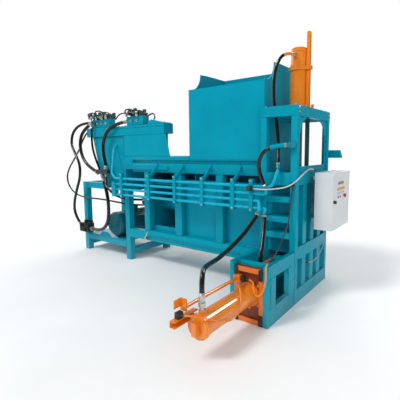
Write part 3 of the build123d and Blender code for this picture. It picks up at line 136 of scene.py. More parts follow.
class ShaderBench(Bench):
    """The tree of a principled material."""

    def __init__(self, name: str) -> None:
        """Start an empty material of that name."""
        self.material = bpy.data.materials.new(name)
        self.material.use_nodes = True
        super().__init__(self.material.node_tree)
        self.shader = next(n for n in self.tree.nodes if n.type == "BSDF_PRINCIPLED")
        self.place = self.node("ShaderNodeTexCoord").outputs["Object"]

    def noise(self, scale: float, detail: float, stretch: Point = EVEN) -> Socket:
        """Add a noise pattern on Object coordinates.

        Args:
            scale: Features in a metre.
            detail: Octaves of finer noise.
            stretch: Scale of the pattern along each axis.

        Returns:
            The noise's grey value.
        """
        mapping = self.node("ShaderNodeMapping", {"Scale": stretch, "Vector": self.place})
        settings = {"Scale": scale, "Detail": detail, "Vector": mapping.outputs["Vector"]}
        return self.node("ShaderNodeTexNoise", settings).outputs["Fac"]

    def patches(self, grain: tuple[float, float], low: float, high: float, start: float = 0.0,
                end: float = 1.0, stretch: Point = EVEN) -> Socket:
        """Cut a noise pattern to a band.

        Args:
            grain: The noise's scale and detail.
            low: Noise that gives start.
            high: Noise that gives end.
            start: Result at low.
            end: Result at high.
            stretch: Scale of the pattern along each axis.

        Returns:
            The pattern's value.
        """
        return self.band(self.noise(*grain, stretch), low, high, start, end)

    def blend(self, share: Socket, first: Socket | Colour, second: Socket | Colour) -> Socket:
        """Mix two colours, sockets or screen colours, by a share of the second."""
        first, second = (c if isinstance(c, Socket) else linear(*c) for c in (first, second))
        return self.node("ShaderNodeMix", {0: share, 6: first, 7: second}, data_type="RGBA").outputs[2]

    def along(self, axis: str) -> Socket:
        """Give one Object coordinate, named X, Y or Z."""
        return self.node("ShaderNodeSeparateXYZ", {0: self.place}).outputs[axis]

    def finished(self, colour: Socket, rough: Socket | float, relief: tuple[float, ...] = (),
                 **values: object) -> Material:
        """Link the patterns to the shader.

        Args:
            colour: The base colour.
            rough: The roughness.
            relief: Scale and detail of a bump's noise, its height in metres and the share that shows.
            **values: Other inputs of the shader, with spaces written as underscores.

        Returns:
            The material.
        """
        self.feed(self.shader.inputs["Base Color"], colour)
        self.feed(self.shader.inputs["Roughness"], rough)
        if relief:
            scale, detail, distance, strength = relief
            bump = {"Distance": distance, "Strength": strength, "Height": self.noise(scale, detail)}
            self.feed(self.shader.inputs["Normal"], self.node("ShaderNodeBump", bump).outputs["Normal"])
        for key, value in values.items():
            self.feed(self.shader.inputs[key.replace("_", " ")], value)
        return self.material


@dataclass(frozen=True)
class Paint:
    """Sprayed machine enamel: slight drift of colour, orange peel, dust low down and in streaks."""

    name: str
    colour: Colour
    drift: Colour
    gloss: float = 0.32
    dust: float = 0.1
    streaks: float = 0.1
    sheen: float = 0.07
    coat: float = 0.02

    def make(self) -> Material:
        """Build the material."""
        bench = ShaderBench(self.name)
        base = bench.blend(bench.patches((2.3, 4.0), 0.35, 0.65), self.colour, self.drift)
        # Runs of grime down the plates
        runs = bench.patches((14.0, 4.0), 0.55, 0.78, 0.0, self.streaks, (1.0, 1.0, 0.06))
        base = bench.blend(runs, base, tuple(int(c * 0.55 + 18) for c in self.colour))
        # Fine scuffs from handling
        scuffs = bench.patches((55.0, 6.0), 0.68, 0.76, 0.0, 0.35, (1.0, 0.35, 1.0))
        handled = bench.math("MULTIPLY", scuffs, bench.patches((3.1, 2.0), 0.52, 0.66))
        base = bench.blend(handled, base, tuple(min(255, c + 55) for c in self.colour))
        # Dust from the floor
        low = bench.band(bench.along("Z"), 0.02, 0.45, 1.0, 0.0)
        dusty = bench.math("MULTIPLY", low, bench.patches((7.0, 5.0), 0.35, 0.7, 0.1, self.dust))
        rough = bench.patches((9.0, 4.0), 0.3, 0.7, self.gloss - 0.06, self.gloss + 0.12)
        return bench.finished(bench.blend(dusty, base, (168, 164, 150)), rough, (420.0, 2.0, 0.0004, 0.35),
                              Specular_IOR_Level=self.sheen, Coat_Weight=self.coat, Coat_Roughness=0.2)


@dataclass(frozen=True)
class Metal:
    """Bare or plated metal with a fine grain and patches of handling."""

    name: str
    colour: Colour
    rough: float
    stain: Colour
    stained: float = 0.3
    metallic: float = 1.0

    def make(self) -> Material:
        """Build the material."""
        bench = ShaderBench(self.name)
        patch = bench.patches((17.0, 5.0), 0.48, 0.7, 0.0, self.stained)
        rough = bench.patches((60.0, 4.0), 0.3, 0.7, self.rough * 0.75, self.rough * 1.3)
        return bench.finished(bench.blend(patch, self.colour, self.stain), rough, (700.0, 2.0, 0.0002, 0.3),
                              Metallic=self.metallic)


@dataclass(frozen=True)
class Moulded:
    """Rubber or plastic with a fine skin and a little dust."""

    name: str
    colour: Colour
    rough: float
    skin: float = 240.0
    depth: float = 0.0005
    dust: float = 0.2
    sheen: float = 0.5

    def make(self) -> Material:
        """Build the material."""
        bench = ShaderBench(self.name)
        dusty = bench.patches((11.0, 5.0), 0.45, 0.75, 0.0, self.dust)
        rough = bench.patches((25.0, 3.0), 0.3, 0.7, self.rough - 0.06, self.rough + 0.1)
        return bench.finished(bench.blend(dusty, self.colour, (120, 118, 112)), rough,
                              (self.skin, 3.0, self.depth, 0.5), Specular_IOR_Level=self.sheen)


@dataclass(frozen=True)
class Lens:
    """Coloured indicator lens."""

    name: str
    colour: Colour

    def make(self) -> Material:
        """Build the material."""
        bench = ShaderBench(self.name)
        shade = bench.patches((90.0, 2.0), 0.3, 0.7, 0.0, 0.25)
        tone = bench.blend(shade, self.colour, tuple(int(c * 0.7) for c in self.colour))
        return bench.finished(tone, 0.14, Coat_Weight=0.6, Coat_Roughness=0.05)


@dataclass(frozen=True)
class ValveStack:
    """Solenoid valves: cast bodies between the coils, black coils, and green plugs on top."""

    name: str
    centre_y: float
    half_body: float
    plug_base: float

    def make(self) -> Material:
        """Build the material."""
        bench = ShaderBench(self.name)
        side = bench.math("ABSOLUTE", bench.math("SUBTRACT", bench.along("Y"), self.centre_y), 0.0)
        coil = bench.math("GREATER_THAN", side, self.half_body + 0.0005)
        plug = bench.math("MULTIPLY", bench.math("GREATER_THAN", bench.along("Z"), self.plug_base), coil)
        grain = bench.patches((38.0, 4.0), 0.35, 0.7, 0.0, 0.5)
        cast = bench.blend(grain, (58, 66, 66), (92, 100, 98))
        dark = bench.blend(grain, (26, 29, 30), (48, 50, 50))
        tone = bench.blend(plug, bench.blend(coil, cast, dark), (38, 92, 80))
        rough = bench.patches((30.0, 3.0), 0.3, 0.7, 0.32, 0.5)
        return bench.finished(tone, rough, (260.0, 3.0, 0.0005, 0.4))


@dataclass(frozen=True)
class SplitPaint:
    """Piece whose colour changes across a border along one axis: where the spray stopped, and on some pieces
    where painted shade begins.
    """

    name: str
    axis: str
    border: float
    below: Colour
    above: Colour

    def make(self) -> Material:
        """Build the material."""
        bench = ShaderBench(self.name)
        ragged = bench.math("MULTIPLY", bench.noise(40.0, 3.0), 0.02)
        place = bench.math("ADD", bench.along(self.axis), ragged)
        share = bench.band(place, self.border + 0.002, self.border + 0.022)
        tone = bench.blend(share, self.below, self.above)
        worn = bench.patches((60.0, 4.0), 0.62, 0.78, 0.0, 0.25)
        rough = bench.patches((20.0, 3.0), 0.3, 0.7, 0.28, 0.46)
        return bench.finished(bench.blend(worn, tone, (120, 112, 100)), rough, (420.0, 2.0, 0.0003, 0.3))


@dataclass(frozen=True)
class FittingFinish:
    """Hose fittings: zinc, oversprayed with the machine's paint at the gantry, and a dark tee."""

    name: str
    painted_box: tuple[tuple[str, str, float], ...] = (
        ("GREATER_THAN", "X", -0.3), ("GREATER_THAN", "Z", 0.85), ("LESS_THAN", "Z", 2.2))
    tee_box: tuple[tuple[str, str, float], ...] = (
        ("GREATER_THAN", "Z", 1.2895), ("LESS_THAN", "Z", 1.3505), ("LESS_THAN", "X", -2.73))

    @staticmethod
    def inside(bench: ShaderBench, limits: Sequence[tuple[str, str, float]]) -> Socket:
        """Give 1 where every limit on a coordinate holds, and 0 elsewhere."""
        share, *others = (bench.math(test, bench.along(axis), place) for test, axis, place in limits)
        for other in others:
            share = bench.math("MULTIPLY", share, other)
        return share

    def make(self) -> Material:
        """Build the material."""
        bench = ShaderBench(self.name)
        painted = self.inside(bench, self.painted_box)
        tee = self.inside(bench, self.tee_box)
        zinc = bench.blend(bench.patches((17.0, 5.0), 0.48, 0.7, 0.0, 0.45), (200, 202, 196), (174, 162, 122))
        tone = bench.blend(tee, bench.blend(painted, zinc, (0, 132, 150)), (34, 40, 44))
        bare = bench.math("LESS_THAN", bench.math("MAXIMUM", painted, tee), 0.5)
        rough = bench.patches((60.0, 4.0), 0.3, 0.7, 0.26, 0.44)
        return bench.finished(tone, rough, (500.0, 2.0, 0.0002, 0.3), Metallic=bare)


FINISHES = (
    Paint("teal_enamel", (0, 142, 167), (1, 149, 173)),
    Paint("teal_frame_enamel", (0, 142, 164), (1, 149, 171), gloss=0.3),
    Paint("pipe_enamel", (4, 162, 192), (8, 168, 198), gloss=0.26, sheen=0.2),
    Paint("orange_enamel", (226, 122, 12), (236, 134, 18), gloss=0.2, dust=0.08, streaks=0.18, sheen=0.5,
          coat=0.4),
    Paint("motor_enamel", (2, 80, 96), (6, 92, 106), gloss=0.34, dust=0.1, sheen=0.15),
    Paint("cabinet_powder_coat", (206, 210, 212), (214, 217, 218), gloss=0.42, dust=0.2, streaks=0.06),
    Paint("black_block_paint", (34, 38, 40), (46, 50, 52), gloss=0.4, dust=0.3),
    Metal("hard_chrome", (214, 218, 222), 0.12, (176, 182, 188), 0.2),
    Metal("zinc_plate", (196, 198, 194), 0.34, (170, 158, 118), 0.45),
    Metal("machined_steel", (176, 178, 180), 0.3, (120, 112, 100), 0.35),
    Metal("blackened_bolt", (62, 66, 70), 0.38, (110, 96, 80), 0.3, 0.85),
    Moulded("hose_rubber", (7, 8, 10), 0.22, 320.0, 0.0001, 0.01, 0.55),
    Moulded("grey_cable_sheath", (188, 194, 196), 0.5, 500.0, 0.0002),
    Moulded("pale_cable_sheath", (150, 156, 150), 0.5, 500.0, 0.0002),
    Moulded("black_nylon", (30, 32, 34), 0.44),
    Moulded("grey_nylon", (112, 118, 120), 0.45),
    Moulded("door_seal", (20, 20, 21), 0.7),
    Lens("amber_lens", (238, 176, 44)),
    Lens("red_lens", (206, 36, 30)),
    Lens("green_lens", (32, 158, 78)),
    ValveStack("valve_stack", -0.335, 0.050, 2.166),
    # Orange above the head; the teal below is darkened as painted shade inside the gantry's window
    SplitPaint("indicator_bar_paint", "Z", 2.06, (20, 70, 74), (232, 130, 10)),
    # Orange rim; the back plate behind it is darkened to brown as painted shade inside the recess
    SplitPaint("mount_plate_paint", "Y", -1.092, (214, 112, 34), (112, 42, 16)),
    SplitPaint("front_cable_sheath", "Y", -1.08, (232, 130, 10), (48, 54, 56)),
    FittingFinish("fitting_finish"),
)

# The record's material slot nearest to each finish that added pieces have
SLOTS = {
    "teal_enamel": "teal_paint", "teal_frame_enamel": "teal_paint", "orange_enamel": "orange_paint",
    "motor_enamel": "motor_green", "cabinet_powder_coat": "grey_cabinet", "grey_nylon": "grey_cabinet",
    "zinc_plate": "bare_steel", "machined_steel": "bare_steel", "blackened_bolt": "bare_steel",
    "hose_rubber": "hose_rubber", "black_nylon": "black_plastic", "door_seal": "black_plastic",
    "amber_lens": "lamp_amber",
}

# Width of the eased corners of welded tube and machined blocks
EASED = {
    "stand_frame": 0.0025, "chamber_frame": 0.0025, "gantry_frame": 0.0025, "gantry_head": 0.0025,
    "push_box_frame": 0.002, "valve_manifolds": 0.002,
}


# Geometry Nodes that repeat small parts


class Hardware(Enum):
    """The small parts that a field repeats, as stacked stubs.

    A stub has its number of sides, its radius, height and foot as shares of the part's radius, and its top
    as a share of its own radius.
    """

    HEX_BOLT = ((20, 1.25, 0.24, 0.0, 0.97), (6, 1.0, 0.72, 0.22, 1.0), (6, 1.0, 0.14, 0.94, 0.8),
                (12, 0.5, 0.22, 1.06, 0.9))
    SOCKET_SCREW = ((16, 1.0, 0.9, 0.0, 1.0), (16, 1.0, 0.14, 0.9, 0.86), (6, 0.5, 0.05, 1.04, 0.7))
    ROUND_NUT = ((18, 1.0, 0.5, 0.0, 1.0), (18, 0.7, 0.5, 0.5, 0.85))
    CRIMP_RING = ((24, 1.0, 0.08, 0.0, 1.05), (24, 1.05, 0.08, 0.08, 0.952))
    RIVET = ((12, 1.0, 0.3, 0.0, 0.85), (12, 0.85, 0.2, 0.3, 0.5))


@dataclass
class Anchor:
    """A place for one small part: where it stands and points, its radius in millimetres and its turn."""

    at: Point
    along: Axis | Point
    size: float = 1.0
    turn: float = 0.0


class TreeBench(Bench):
    """A geometry tree with named inputs for its sizes."""

    def __init__(self, name: str) -> None:
        """Start a tree of that name with a geometry input and output."""
        super().__init__(bpy.data.node_groups.new(name, "GeometryNodeTree"))
        for way in ("INPUT", "OUTPUT"):
            self.tree.interface.new_socket("Geometry", in_out=way, socket_type="NodeSocketGeometry")
        self.source = self.node("NodeGroupInput")
        self.sink = self.node("NodeGroupOutput")

    def number(self, name: str, value: float) -> Socket:
        """Add a named size with its default, and give its socket inside the tree."""
        socket = self.tree.interface.new_socket(name, in_out="INPUT", socket_type="NodeSocketFloat")
        socket.default_value = value
        return self.source.outputs[name]

    def stub(self, size: Socket, sides: int, radius: float, height: float, foot: float, top: float) -> Socket:
        """Add a short prism or cone frustum.

        Args:
            size: The part's radius.
            sides: Corners of its section.
            radius: Radius at the foot, as a share of the part's.
            height: Its height, as such a share.
            foot: Height of its foot, as such a share.
            top: Radius at the top, as a share of the one at the foot.

        Returns:
            Its geometry.
        """
        wide = self.math("MULTIPLY", size, radius)
        cone = self.node("GeometryNodeMeshCone", {
            "Vertices": sides, "Radius Bottom": wide, "Radius Top": self.math("MULTIPLY", wide, top),
            "Depth": self.math("MULTIPLY", size, height)}, fill_type="NGON")
        lift = self.node("ShaderNodeCombineXYZ", {"Z": self.math("MULTIPLY", size, foot)})
        place = {"Geometry": cone.outputs["Mesh"], "Translation": lift.outputs[0]}
        return self.node("GeometryNodeTransform", place).outputs[0]

    def close(self, instances: dict[str, Socket], finish: Material) -> Tree:
        """End the tree with real geometry in one material.

        Args:
            instances: The Points, Instance, Rotation and Scale of what it repeats.
            finish: The finish of its result.

        Returns:
            The finished tree.
        """
        repeat = self.node("GeometryNodeInstanceOnPoints", instances)
        real = self.node("GeometryNodeRealizeInstances", {0: repeat.outputs[0]})
        dress = self.node("GeometryNodeSetMaterial", {"Geometry": real.outputs[0], "Material": finish})
        self.feed(self.sink.inputs[0], dress.outputs[0])
        return self.tree


def plain_mesh(name: str, mesh: bpy.types.Mesh, tree: Tree, **sizes: float) -> Piece:
    """Run a geometry tree over a mesh and keep the result as a plain mesh.

    Args:
        name: Name of the finished piece.
        mesh: The tree's input.
        tree: The geometry tree.
        **sizes: Values for the tree's named inputs.

    Returns:
        The finished object, with no modifier on it.
    """
    carrier = bpy.data.objects.new(f"{name}_carrier", mesh)
    bpy.context.scene.collection.objects.link(carrier)
    modifier = carrier.modifiers.new("repeat", "NODES")
    modifier.node_group = tree
    for item in tree.interface.items_tree:
        if item.item_type == "SOCKET" and item.in_out == "INPUT" and item.name in sizes:
            modifier[item.identifier] = sizes[item.name]
    graph = bpy.context.evaluated_depsgraph_get()
    result = bpy.data.meshes.new_from_object(carrier.evaluated_get(graph), depsgraph=graph)
    result.name = name
    made = bpy.data.objects.new(name, result)
    bpy.context.scene.collection.objects.link(made)
    bpy.data.objects.remove(carrier)
    return made


class Field:
    """Repeats one kind of hardware over anchors with Geometry Nodes."""

    def __init__(self, kind: Hardware, finish: Material) -> None:
        """Build the tree of this kind, whose part has a radius of 1 mm and scales with the anchor.

        Args:
            kind: What is repeated.
            finish: Its material.
        """
        bench = TreeBench(f"{kind.name.lower()}_field_{finish.name}")
        radius = bench.number("Radius", 0.001)
        part = bench.node("GeometryNodeJoinGeometry")
        for stub in [bench.stub(radius, *shares) for shares in kind.value]:
            bench.feed(part.inputs[0], stub)
        along, size, turn = (
            bench.node("GeometryNodeInputNamedAttribute", {"Name": name}, data_type=data).outputs["Attribute"]
            for name, data in (("along", "FLOAT_VECTOR"), ("size", "FLOAT"), ("turn", "FLOAT")))
        aim = bench.node("FunctionNodeAlignRotationToVector", {"Vector": along}, axis="Z")
        spin = bench.node("FunctionNodeAxisAngleToRotation", {"Axis": Axis.UP.value, "Angle": turn})
        both = bench.node("FunctionNodeRotateRotation", {0: aim.outputs[0], 1: spin.outputs[0]},
                          rotation_space="LOCAL")
        self.tree = bench.close({"Points": bench.source.outputs["Geometry"], "Instance": part.outputs[0],
                                 "Rotation": both.outputs[0], "Scale": size}, finish)

    def lay(self, name: str, anchors: Sequence[Anchor]) -> Piece:
        """Repeat the part over the anchors.

        Args:
            name: Name of the finished piece.
            anchors: Where the parts stand.

        Returns:
            The piece, as a plain mesh.
        """
        mesh = bpy.data.meshes.new(f"{name}_anchors")
        mesh.from_pydata([a.at for a in anchors], [], [])
        for key, kind, target, values in (
            ("along", "FLOAT_VECTOR", "vector", [v for a in anchors for v in direction(a.along)]),
            ("size", "FLOAT", "value", [a.size for a in anchors]),
            ("turn", "FLOAT", "value", [a.turn for a in anchors]),
        ):
            mesh.attributes.new(key, kind, "POINT").data.foreach_set(target, values)
        return plain_mesh(name, mesh, self.tree)


def weld_tree(finish: Material) -> Tree:
    """Build the tree that lays overlapping ripples of weld along edges.

    Args:
        finish: The weld's finish.

    Returns:
        The finished tree, with inputs Pitch and Width.
    """
    bench = TreeBench(f"weld_bead_{finish.name}")
    pitch = bench.number("Pitch", 0.011)
    width = bench.number("Width", 0.0055)
    line = bench.node("GeometryNodeMeshToCurve", {0: bench.source.outputs["Geometry"]})
    even = bench.node("GeometryNodeResampleCurve", {"Curve": line.outputs[0], "Length": pitch}, mode="LENGTH")
    drop = bench.node("GeometryNodeMeshUVSphere", {"Segments": 8, "Rings": 4, "Radius": width})
    tangent = bench.node("GeometryNodeInputTangent").outputs[0]
    aim = bench.node("FunctionNodeAlignRotationToVector", {"Vector": tangent}, axis="Z")
    wobble = bench.node("FunctionNodeRandomValue", {"Seed": 7}, data_type="FLOAT")
    spread = {"Min": 0.85, "Max": 1.15}
    for socket in wobble.inputs:
        if socket.type == "VALUE" and socket.name in spread:
            socket.default_value = spread[socket.name]
    scale = next(o for o in wobble.outputs if o.type == "VALUE" and o.enabled)
    return bench.close({"Points": even.outputs[0], "Instance": drop.outputs["Mesh"],
                        "Rotation": aim.outputs[0], "Scale": scale}, finish)


def smooth_tree() -> Tree:
    """Build the tree that shades a CAD node's round faces smooth and keeps its corners sharp."""
    bench = TreeBench("round_faces")
    corner = bench.number("Corner", math.radians(32))
    merge = bench.node("GeometryNodeMergeByDistance", {
        "Geometry": bench.source.outputs["Geometry"], "Distance": MERGE_DISTANCE})
    strip = bench.node("GeometryNodeRemoveAttribute", {"Geometry": merge.outputs[0], "Name": "custom_normal"})
    faces = bench.node("GeometryNodeSetShadeSmooth", {"Geometry": strip.outputs[0]})
    angle = bench.node("GeometryNodeInputMeshEdgeAngle").outputs["Unsigned Angle"]
    sharp = bench.node("FunctionNodeCompare", {0: angle, 1: corner}, data_type="FLOAT",
                       operation="GREATER_THAN")
    # Plates that touch share edges with four faces, which have no angle of their own
    sides = bench.node("GeometryNodeInputMeshEdgeNeighbors").outputs[0]
    shared = bench.node("FunctionNodeCompare", data_type="INT", operation="NOT_EQUAL")
    for name, value in (("A", sides), ("B", 2)):
        bench.feed(next(i for i in shared.inputs if i.enabled and i.name == name), value)
    either = bench.node("FunctionNodeBooleanMath", {0: sharp.outputs[0], 1: shared.outputs[0]},
                        operation="OR")
    edges = bench.node("GeometryNodeSetShadeSmooth", {
        "Geometry": faces.outputs[0], "Selection": either.outputs[0], "Shade Smooth": False}, domain="EDGE")
    bench.feed(bench.sink.inputs[0], edges.outputs[0])
    return bench.tree


# Mesh work shared by the sub-assemblies


class Form:
    """A mesh under construction, made of turned, boxed and bent shapes in the shared frame."""

    def __init__(self) -> None:
        """Start with no faces."""
        self.mesh = bmesh.new()

    def box(self, low: Point, high: Point, bevel: float = 0.0) -> Form:
        """Add a box between two corners.

        Args:
            low: Lowest corner.
            high: Highest corner.
            bevel: Width of its rounded edges.

        Returns:
            This form.
        """
        centre = Vector((a + b) / 2 for a, b in zip(low, high))
        size = [b - a for a, b in zip(low, high)]
        place = Matrix.Translation(centre) @ Matrix.Diagonal((*size, 1.0))
        made = bmesh.ops.create_cube(self.mesh, size=1.0, matrix=place)["verts"]
        if bevel:
            edges = list({e for v in made for e in v.link_edges})
            bmesh.ops.bevel(self.mesh, geom=edges, offset=bevel, segments=2, profile=0.7, affect="EDGES")
        return self

    def skin(self, rings: Sequence[list[bmesh.types.BMVert]]) -> None:
        """Close the skin between neighbouring rings, the last of which may be a single point."""
        for lower, upper in zip(rings, rings[1:]):
            for i in range(len(lower)):
                j = (i + 1) % len(lower)
                tip = (upper[0],) if len(upper) == 1 else (upper[j], upper[i])
                self.mesh.faces.new((lower[i], lower[j], *tip))

    def turned(self, profile: Profile, at: Point, along: Axis | Point, sides: int) -> Form:
        """Add a turned shape.

        Args:
            profile: Pairs of radius and height along the axis, from its foot to its tip.
            at: The axis's foot.
            along: The axis's direction.
            sides: Faces round it.

        Returns:
            This form.
        """
        turn = Vector(direction(along)).to_track_quat("Z", "Y").to_matrix().to_4x4()
        place = Matrix.Translation(Vector(at)) @ turn
        angles = [2 * math.pi * i / sides for i in range(sides)]
        rings = []
        for radius, height in profile:
            spots = [(radius * math.cos(a), radius * math.sin(a), height) for a in angles]
            if radius == 0.0:
                spots = [(0, 0, height)]
            rings.append([self.mesh.verts.new(place @ Vector(spot)) for spot in spots])
        self.skin(rings)
        return self

    def bent_bar(self, points: Sequence[Point], radius: float, sides: int = 12) -> Form:
        """Add a round bar along points, closed at both ends.

        Args:
            points: The bar's centreline.
            radius: Its radius.
            sides: Faces round it.

        Returns:
            This form.
        """
        line = [Vector(p) for p in points]
        side = Vector((0, 0, 1))
        rings = []
        for i, here in enumerate(line):
            ahead = line[min(i + 1, len(line) - 1)] - line[max(i - 1, 0)]
            ahead.normalize()
            if abs(ahead.dot(side)) > 0.97:
                side = Vector((1, 0, 0))
            side = (side - ahead * side.dot(ahead)).normalized()
            other = ahead.cross(side)
            rings.append([self.mesh.verts.new(here + (side * math.cos(a) + other * math.sin(a)) * radius)
                          for a in (2 * math.pi * k / sides for k in range(sides))])
        self.skin(rings)
        self.mesh.faces.new(list(reversed(rings[0])))
        self.mesh.faces.new(rings[-1])
        return self

    def plate(self, outline: Sequence[Point], thickness: Point) -> Form:
        """Add a flat plate from the outline of one face, pushed out along a vector."""
        near = [self.mesh.verts.new(Vector(p)) for p in outline]
        far = [self.mesh.verts.new(Vector(p) + Vector(thickness)) for p in outline]
        self.mesh.faces.new(near)
        self.mesh.faces.new(list(reversed(far)))
        for i in range(len(near)):
            j = (i + 1) % len(near)
            self.mesh.faces.new((near[i], far[i], far[j], near[j]))
        return self

    def done(self, name: str, finish: Material, smooth: float = 0.6) -> Piece:
        """Turn the form into an object with outward faces.

        Args:
            name: The object's name.
            finish: Its material.
            smooth: Edge angle under which it is shaded smooth.

        Returns:
            The object.
        """
        bmesh.ops.recalc_face_normals(self.mesh, faces=self.mesh.faces[:])
        for face in self.mesh.faces:
            face.smooth = True
        for edge in self.mesh.edges:
            edge.smooth = len(edge.link_faces) == 2 and edge.calc_face_angle(0.0) < smooth
        mesh = bpy.data.meshes.new(name)
        self.mesh.to_mesh(mesh)
        self.mesh.free()
        mesh.materials.append(finish)
        made = bpy.data.objects.new(name, mesh)
        bpy.context.scene.collection.objects.link(made)
        return made


class Workshop:
    """Holds the finishes and the shared trees, and hands each finished piece to its body."""

    def __init__(self, nodes: dict[str, Piece]) -> None:
        """Make the finishes and the shared trees for these CAD nodes."""
        self.finishes = {finish.name: finish.make() for finish in FINISHES}
        self.nodes = nodes
        self.fields: dict[tuple[Hardware, str], Field] = {}
        self.welds: dict[str, Tree] = {}
        self.rounding = smooth_tree()

    def keep(self, piece: Piece, body: str, slot: str) -> None:
        """Hand a finished piece to its body.

        Args:
            piece: The finished object.
            body: The body it moves with.
            slot: The record's material slot nearest to its finish; not used.
        """
        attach(piece, body)
        faces = len(piece.data.polygons) if piece.type == "MESH" else 0
        LOG.info("%s rides on %s, %d faces", piece.name, body, faces)

    def add(self, form: Form, name: str, finish: str, body: str = "frame") -> None:
        """Make a form a named piece of a body, in a named finish."""
        self.keep(form.done(name, self.finishes[finish]), body, SLOTS[finish])

    def repeat(self, kind: Hardware, finish: str, name: str, anchors: Sequence[Anchor]) -> None:
        """Repeat small parts over anchors on the frame.

        Args:
            kind: The small part.
            finish: Name of its finish.
            name: The piece's name.
            anchors: Where the parts stand.
        """
        key = (kind, finish)
        if key not in self.fields:
            self.fields[key] = Field(kind, self.finishes[finish])
        self.keep(self.fields[key].lay(name, anchors), "frame", SLOTS[finish])

    def weld(self, name: str, runs: Sequence[Sequence[Point]], finish: str = "teal_frame_enamel",
             width: float = 0.005) -> None:
        """Lay weld beads along runs of points on the frame.

        Args:
            name: The piece's name.
            runs: Lines of points.
            finish: Name of the weld's finish.
            width: Half width of the bead.
        """
        if finish not in self.welds:
            self.welds[finish] = weld_tree(self.finishes[finish])
        points: list[Point] = []
        edges: list[tuple[int, int]] = []
        for run in runs:
            start = len(points)
            points.extend(run)
            edges.extend((start + i, start + i + 1) for i in range(len(run) - 1))
        mesh = bpy.data.meshes.new(f"{name}_lines")
        mesh.from_pydata(points, edges, [])
        bead = plain_mesh(name, mesh, self.welds[finish], Width=width, Pitch=width * 1.7)
        self.keep(bead, "frame", SLOTS[finish])

    def dress(self, node: str, finish: str) -> None:
        """Give a CAD node its finish, smooth round faces and eased corners.

        Args:
            node: The node's name.
            finish: Name of its finish.
        """
        target = self.nodes[node]
        if not target.data.materials:
            target.data.materials.append(self.finishes[finish])
        for slot in target.material_slots:
            slot.material = self.finishes[finish]
        if node in EASED:
            target.modifiers.new("merge_corners", "WELD").merge_threshold = MERGE_DISTANCE
            ease = target.modifiers.new("eased_corners", "BEVEL")
            ease.width = EASED[node]
            ease.segments = 2
            ease.limit_method = "ANGLE"
            ease.angle_limit = math.radians(50)
        target.modifiers.new("round_faces", "NODES").node_group = self.rounding


def rise(x: float, y: float, low: float, high: float) -> list[Point]:
    """Give an upright run between two heights."""
    return [(x, y, low), (x, y, high)]


def ring(centre: Point, along: Axis, radius: float, count: int, size: float = 1.0,
         start: float = 0.0) -> list[Anchor]:
    """Give anchors evenly spaced on a circle.

    Args:
        centre: The circle's centre.
        along: Direction that the parts point in.
        radius: The circle's radius.
        count: How many.
        size: Radius of each part in millimetres.
        start: Angle of the first, in degrees.

    Returns:
        The anchors.
    """
    normal = Vector(along.value)
    first = Vector((0, 0, 1)) if abs(normal.z) < 0.5 else Vector((1, 0, 0))
    second = normal.cross(first)
    anchors = []
    for i in range(count):
        a = math.radians(start) + 2 * math.pi * i / count
        spot = Vector(centre) + (first * math.cos(a) + second * math.sin(a)) * radius
        anchors.append(Anchor(tuple(spot), along, size, a))
    return anchors


def circle(centre: Point, along: Axis, radius: float, count: int = 48) -> list[Point]:
    """Give the points of a closed circle for a weld, with the first repeated at the end."""
    points = [a.at for a in ring(centre, along, radius, count)]
    return points + points[:1]


def smoothed(points: Sequence[Point], steps: int = 8) -> list[Point]:
    """Follow the same clamped second-degree spline as the hoses' curves do.

    Args:
        points: Control points.
        steps: Points for each arc.

    Returns:
        Points on the spline, from the first control point to the last.
    """
    line = [Vector(p) for p in points]
    joints = [line[0], *((a + b) / 2 for a, b in zip(line[1:-2], line[2:-1])), line[-1]]
    track = [line[0]]
    for start, pull, finish in zip(joints, line[1:-1], joints[1:]):
        for i in range(1, steps + 1):
            t = i / steps
            track.append(start * (1 - t) ** 2 + pull * (2 * t * (1 - t)) + finish * t ** 2)
    return [tuple(p) for p in track]


def ends(points: Sequence[Point]) -> list[tuple[Point, Vector]]:
    """Give both ends of a line, each with the direction in which it points out."""
    pairs = ((points[0], points[1]), (points[-1], points[-2]))
    return [(end, (Vector(end) - Vector(inner)).normalized()) for end, inner in pairs]


@dataclass(frozen=True)
class Route:
    """A hose or cable: its node, real diameter and length in metres, and the points it runs by."""

    node: str
    diameter: float
    length: float
    points: tuple[Point, ...]

    @property
    def is_cable(self) -> bool:
        """Whether it is a cable and not a hose."""
        return self.node.startswith("cable")


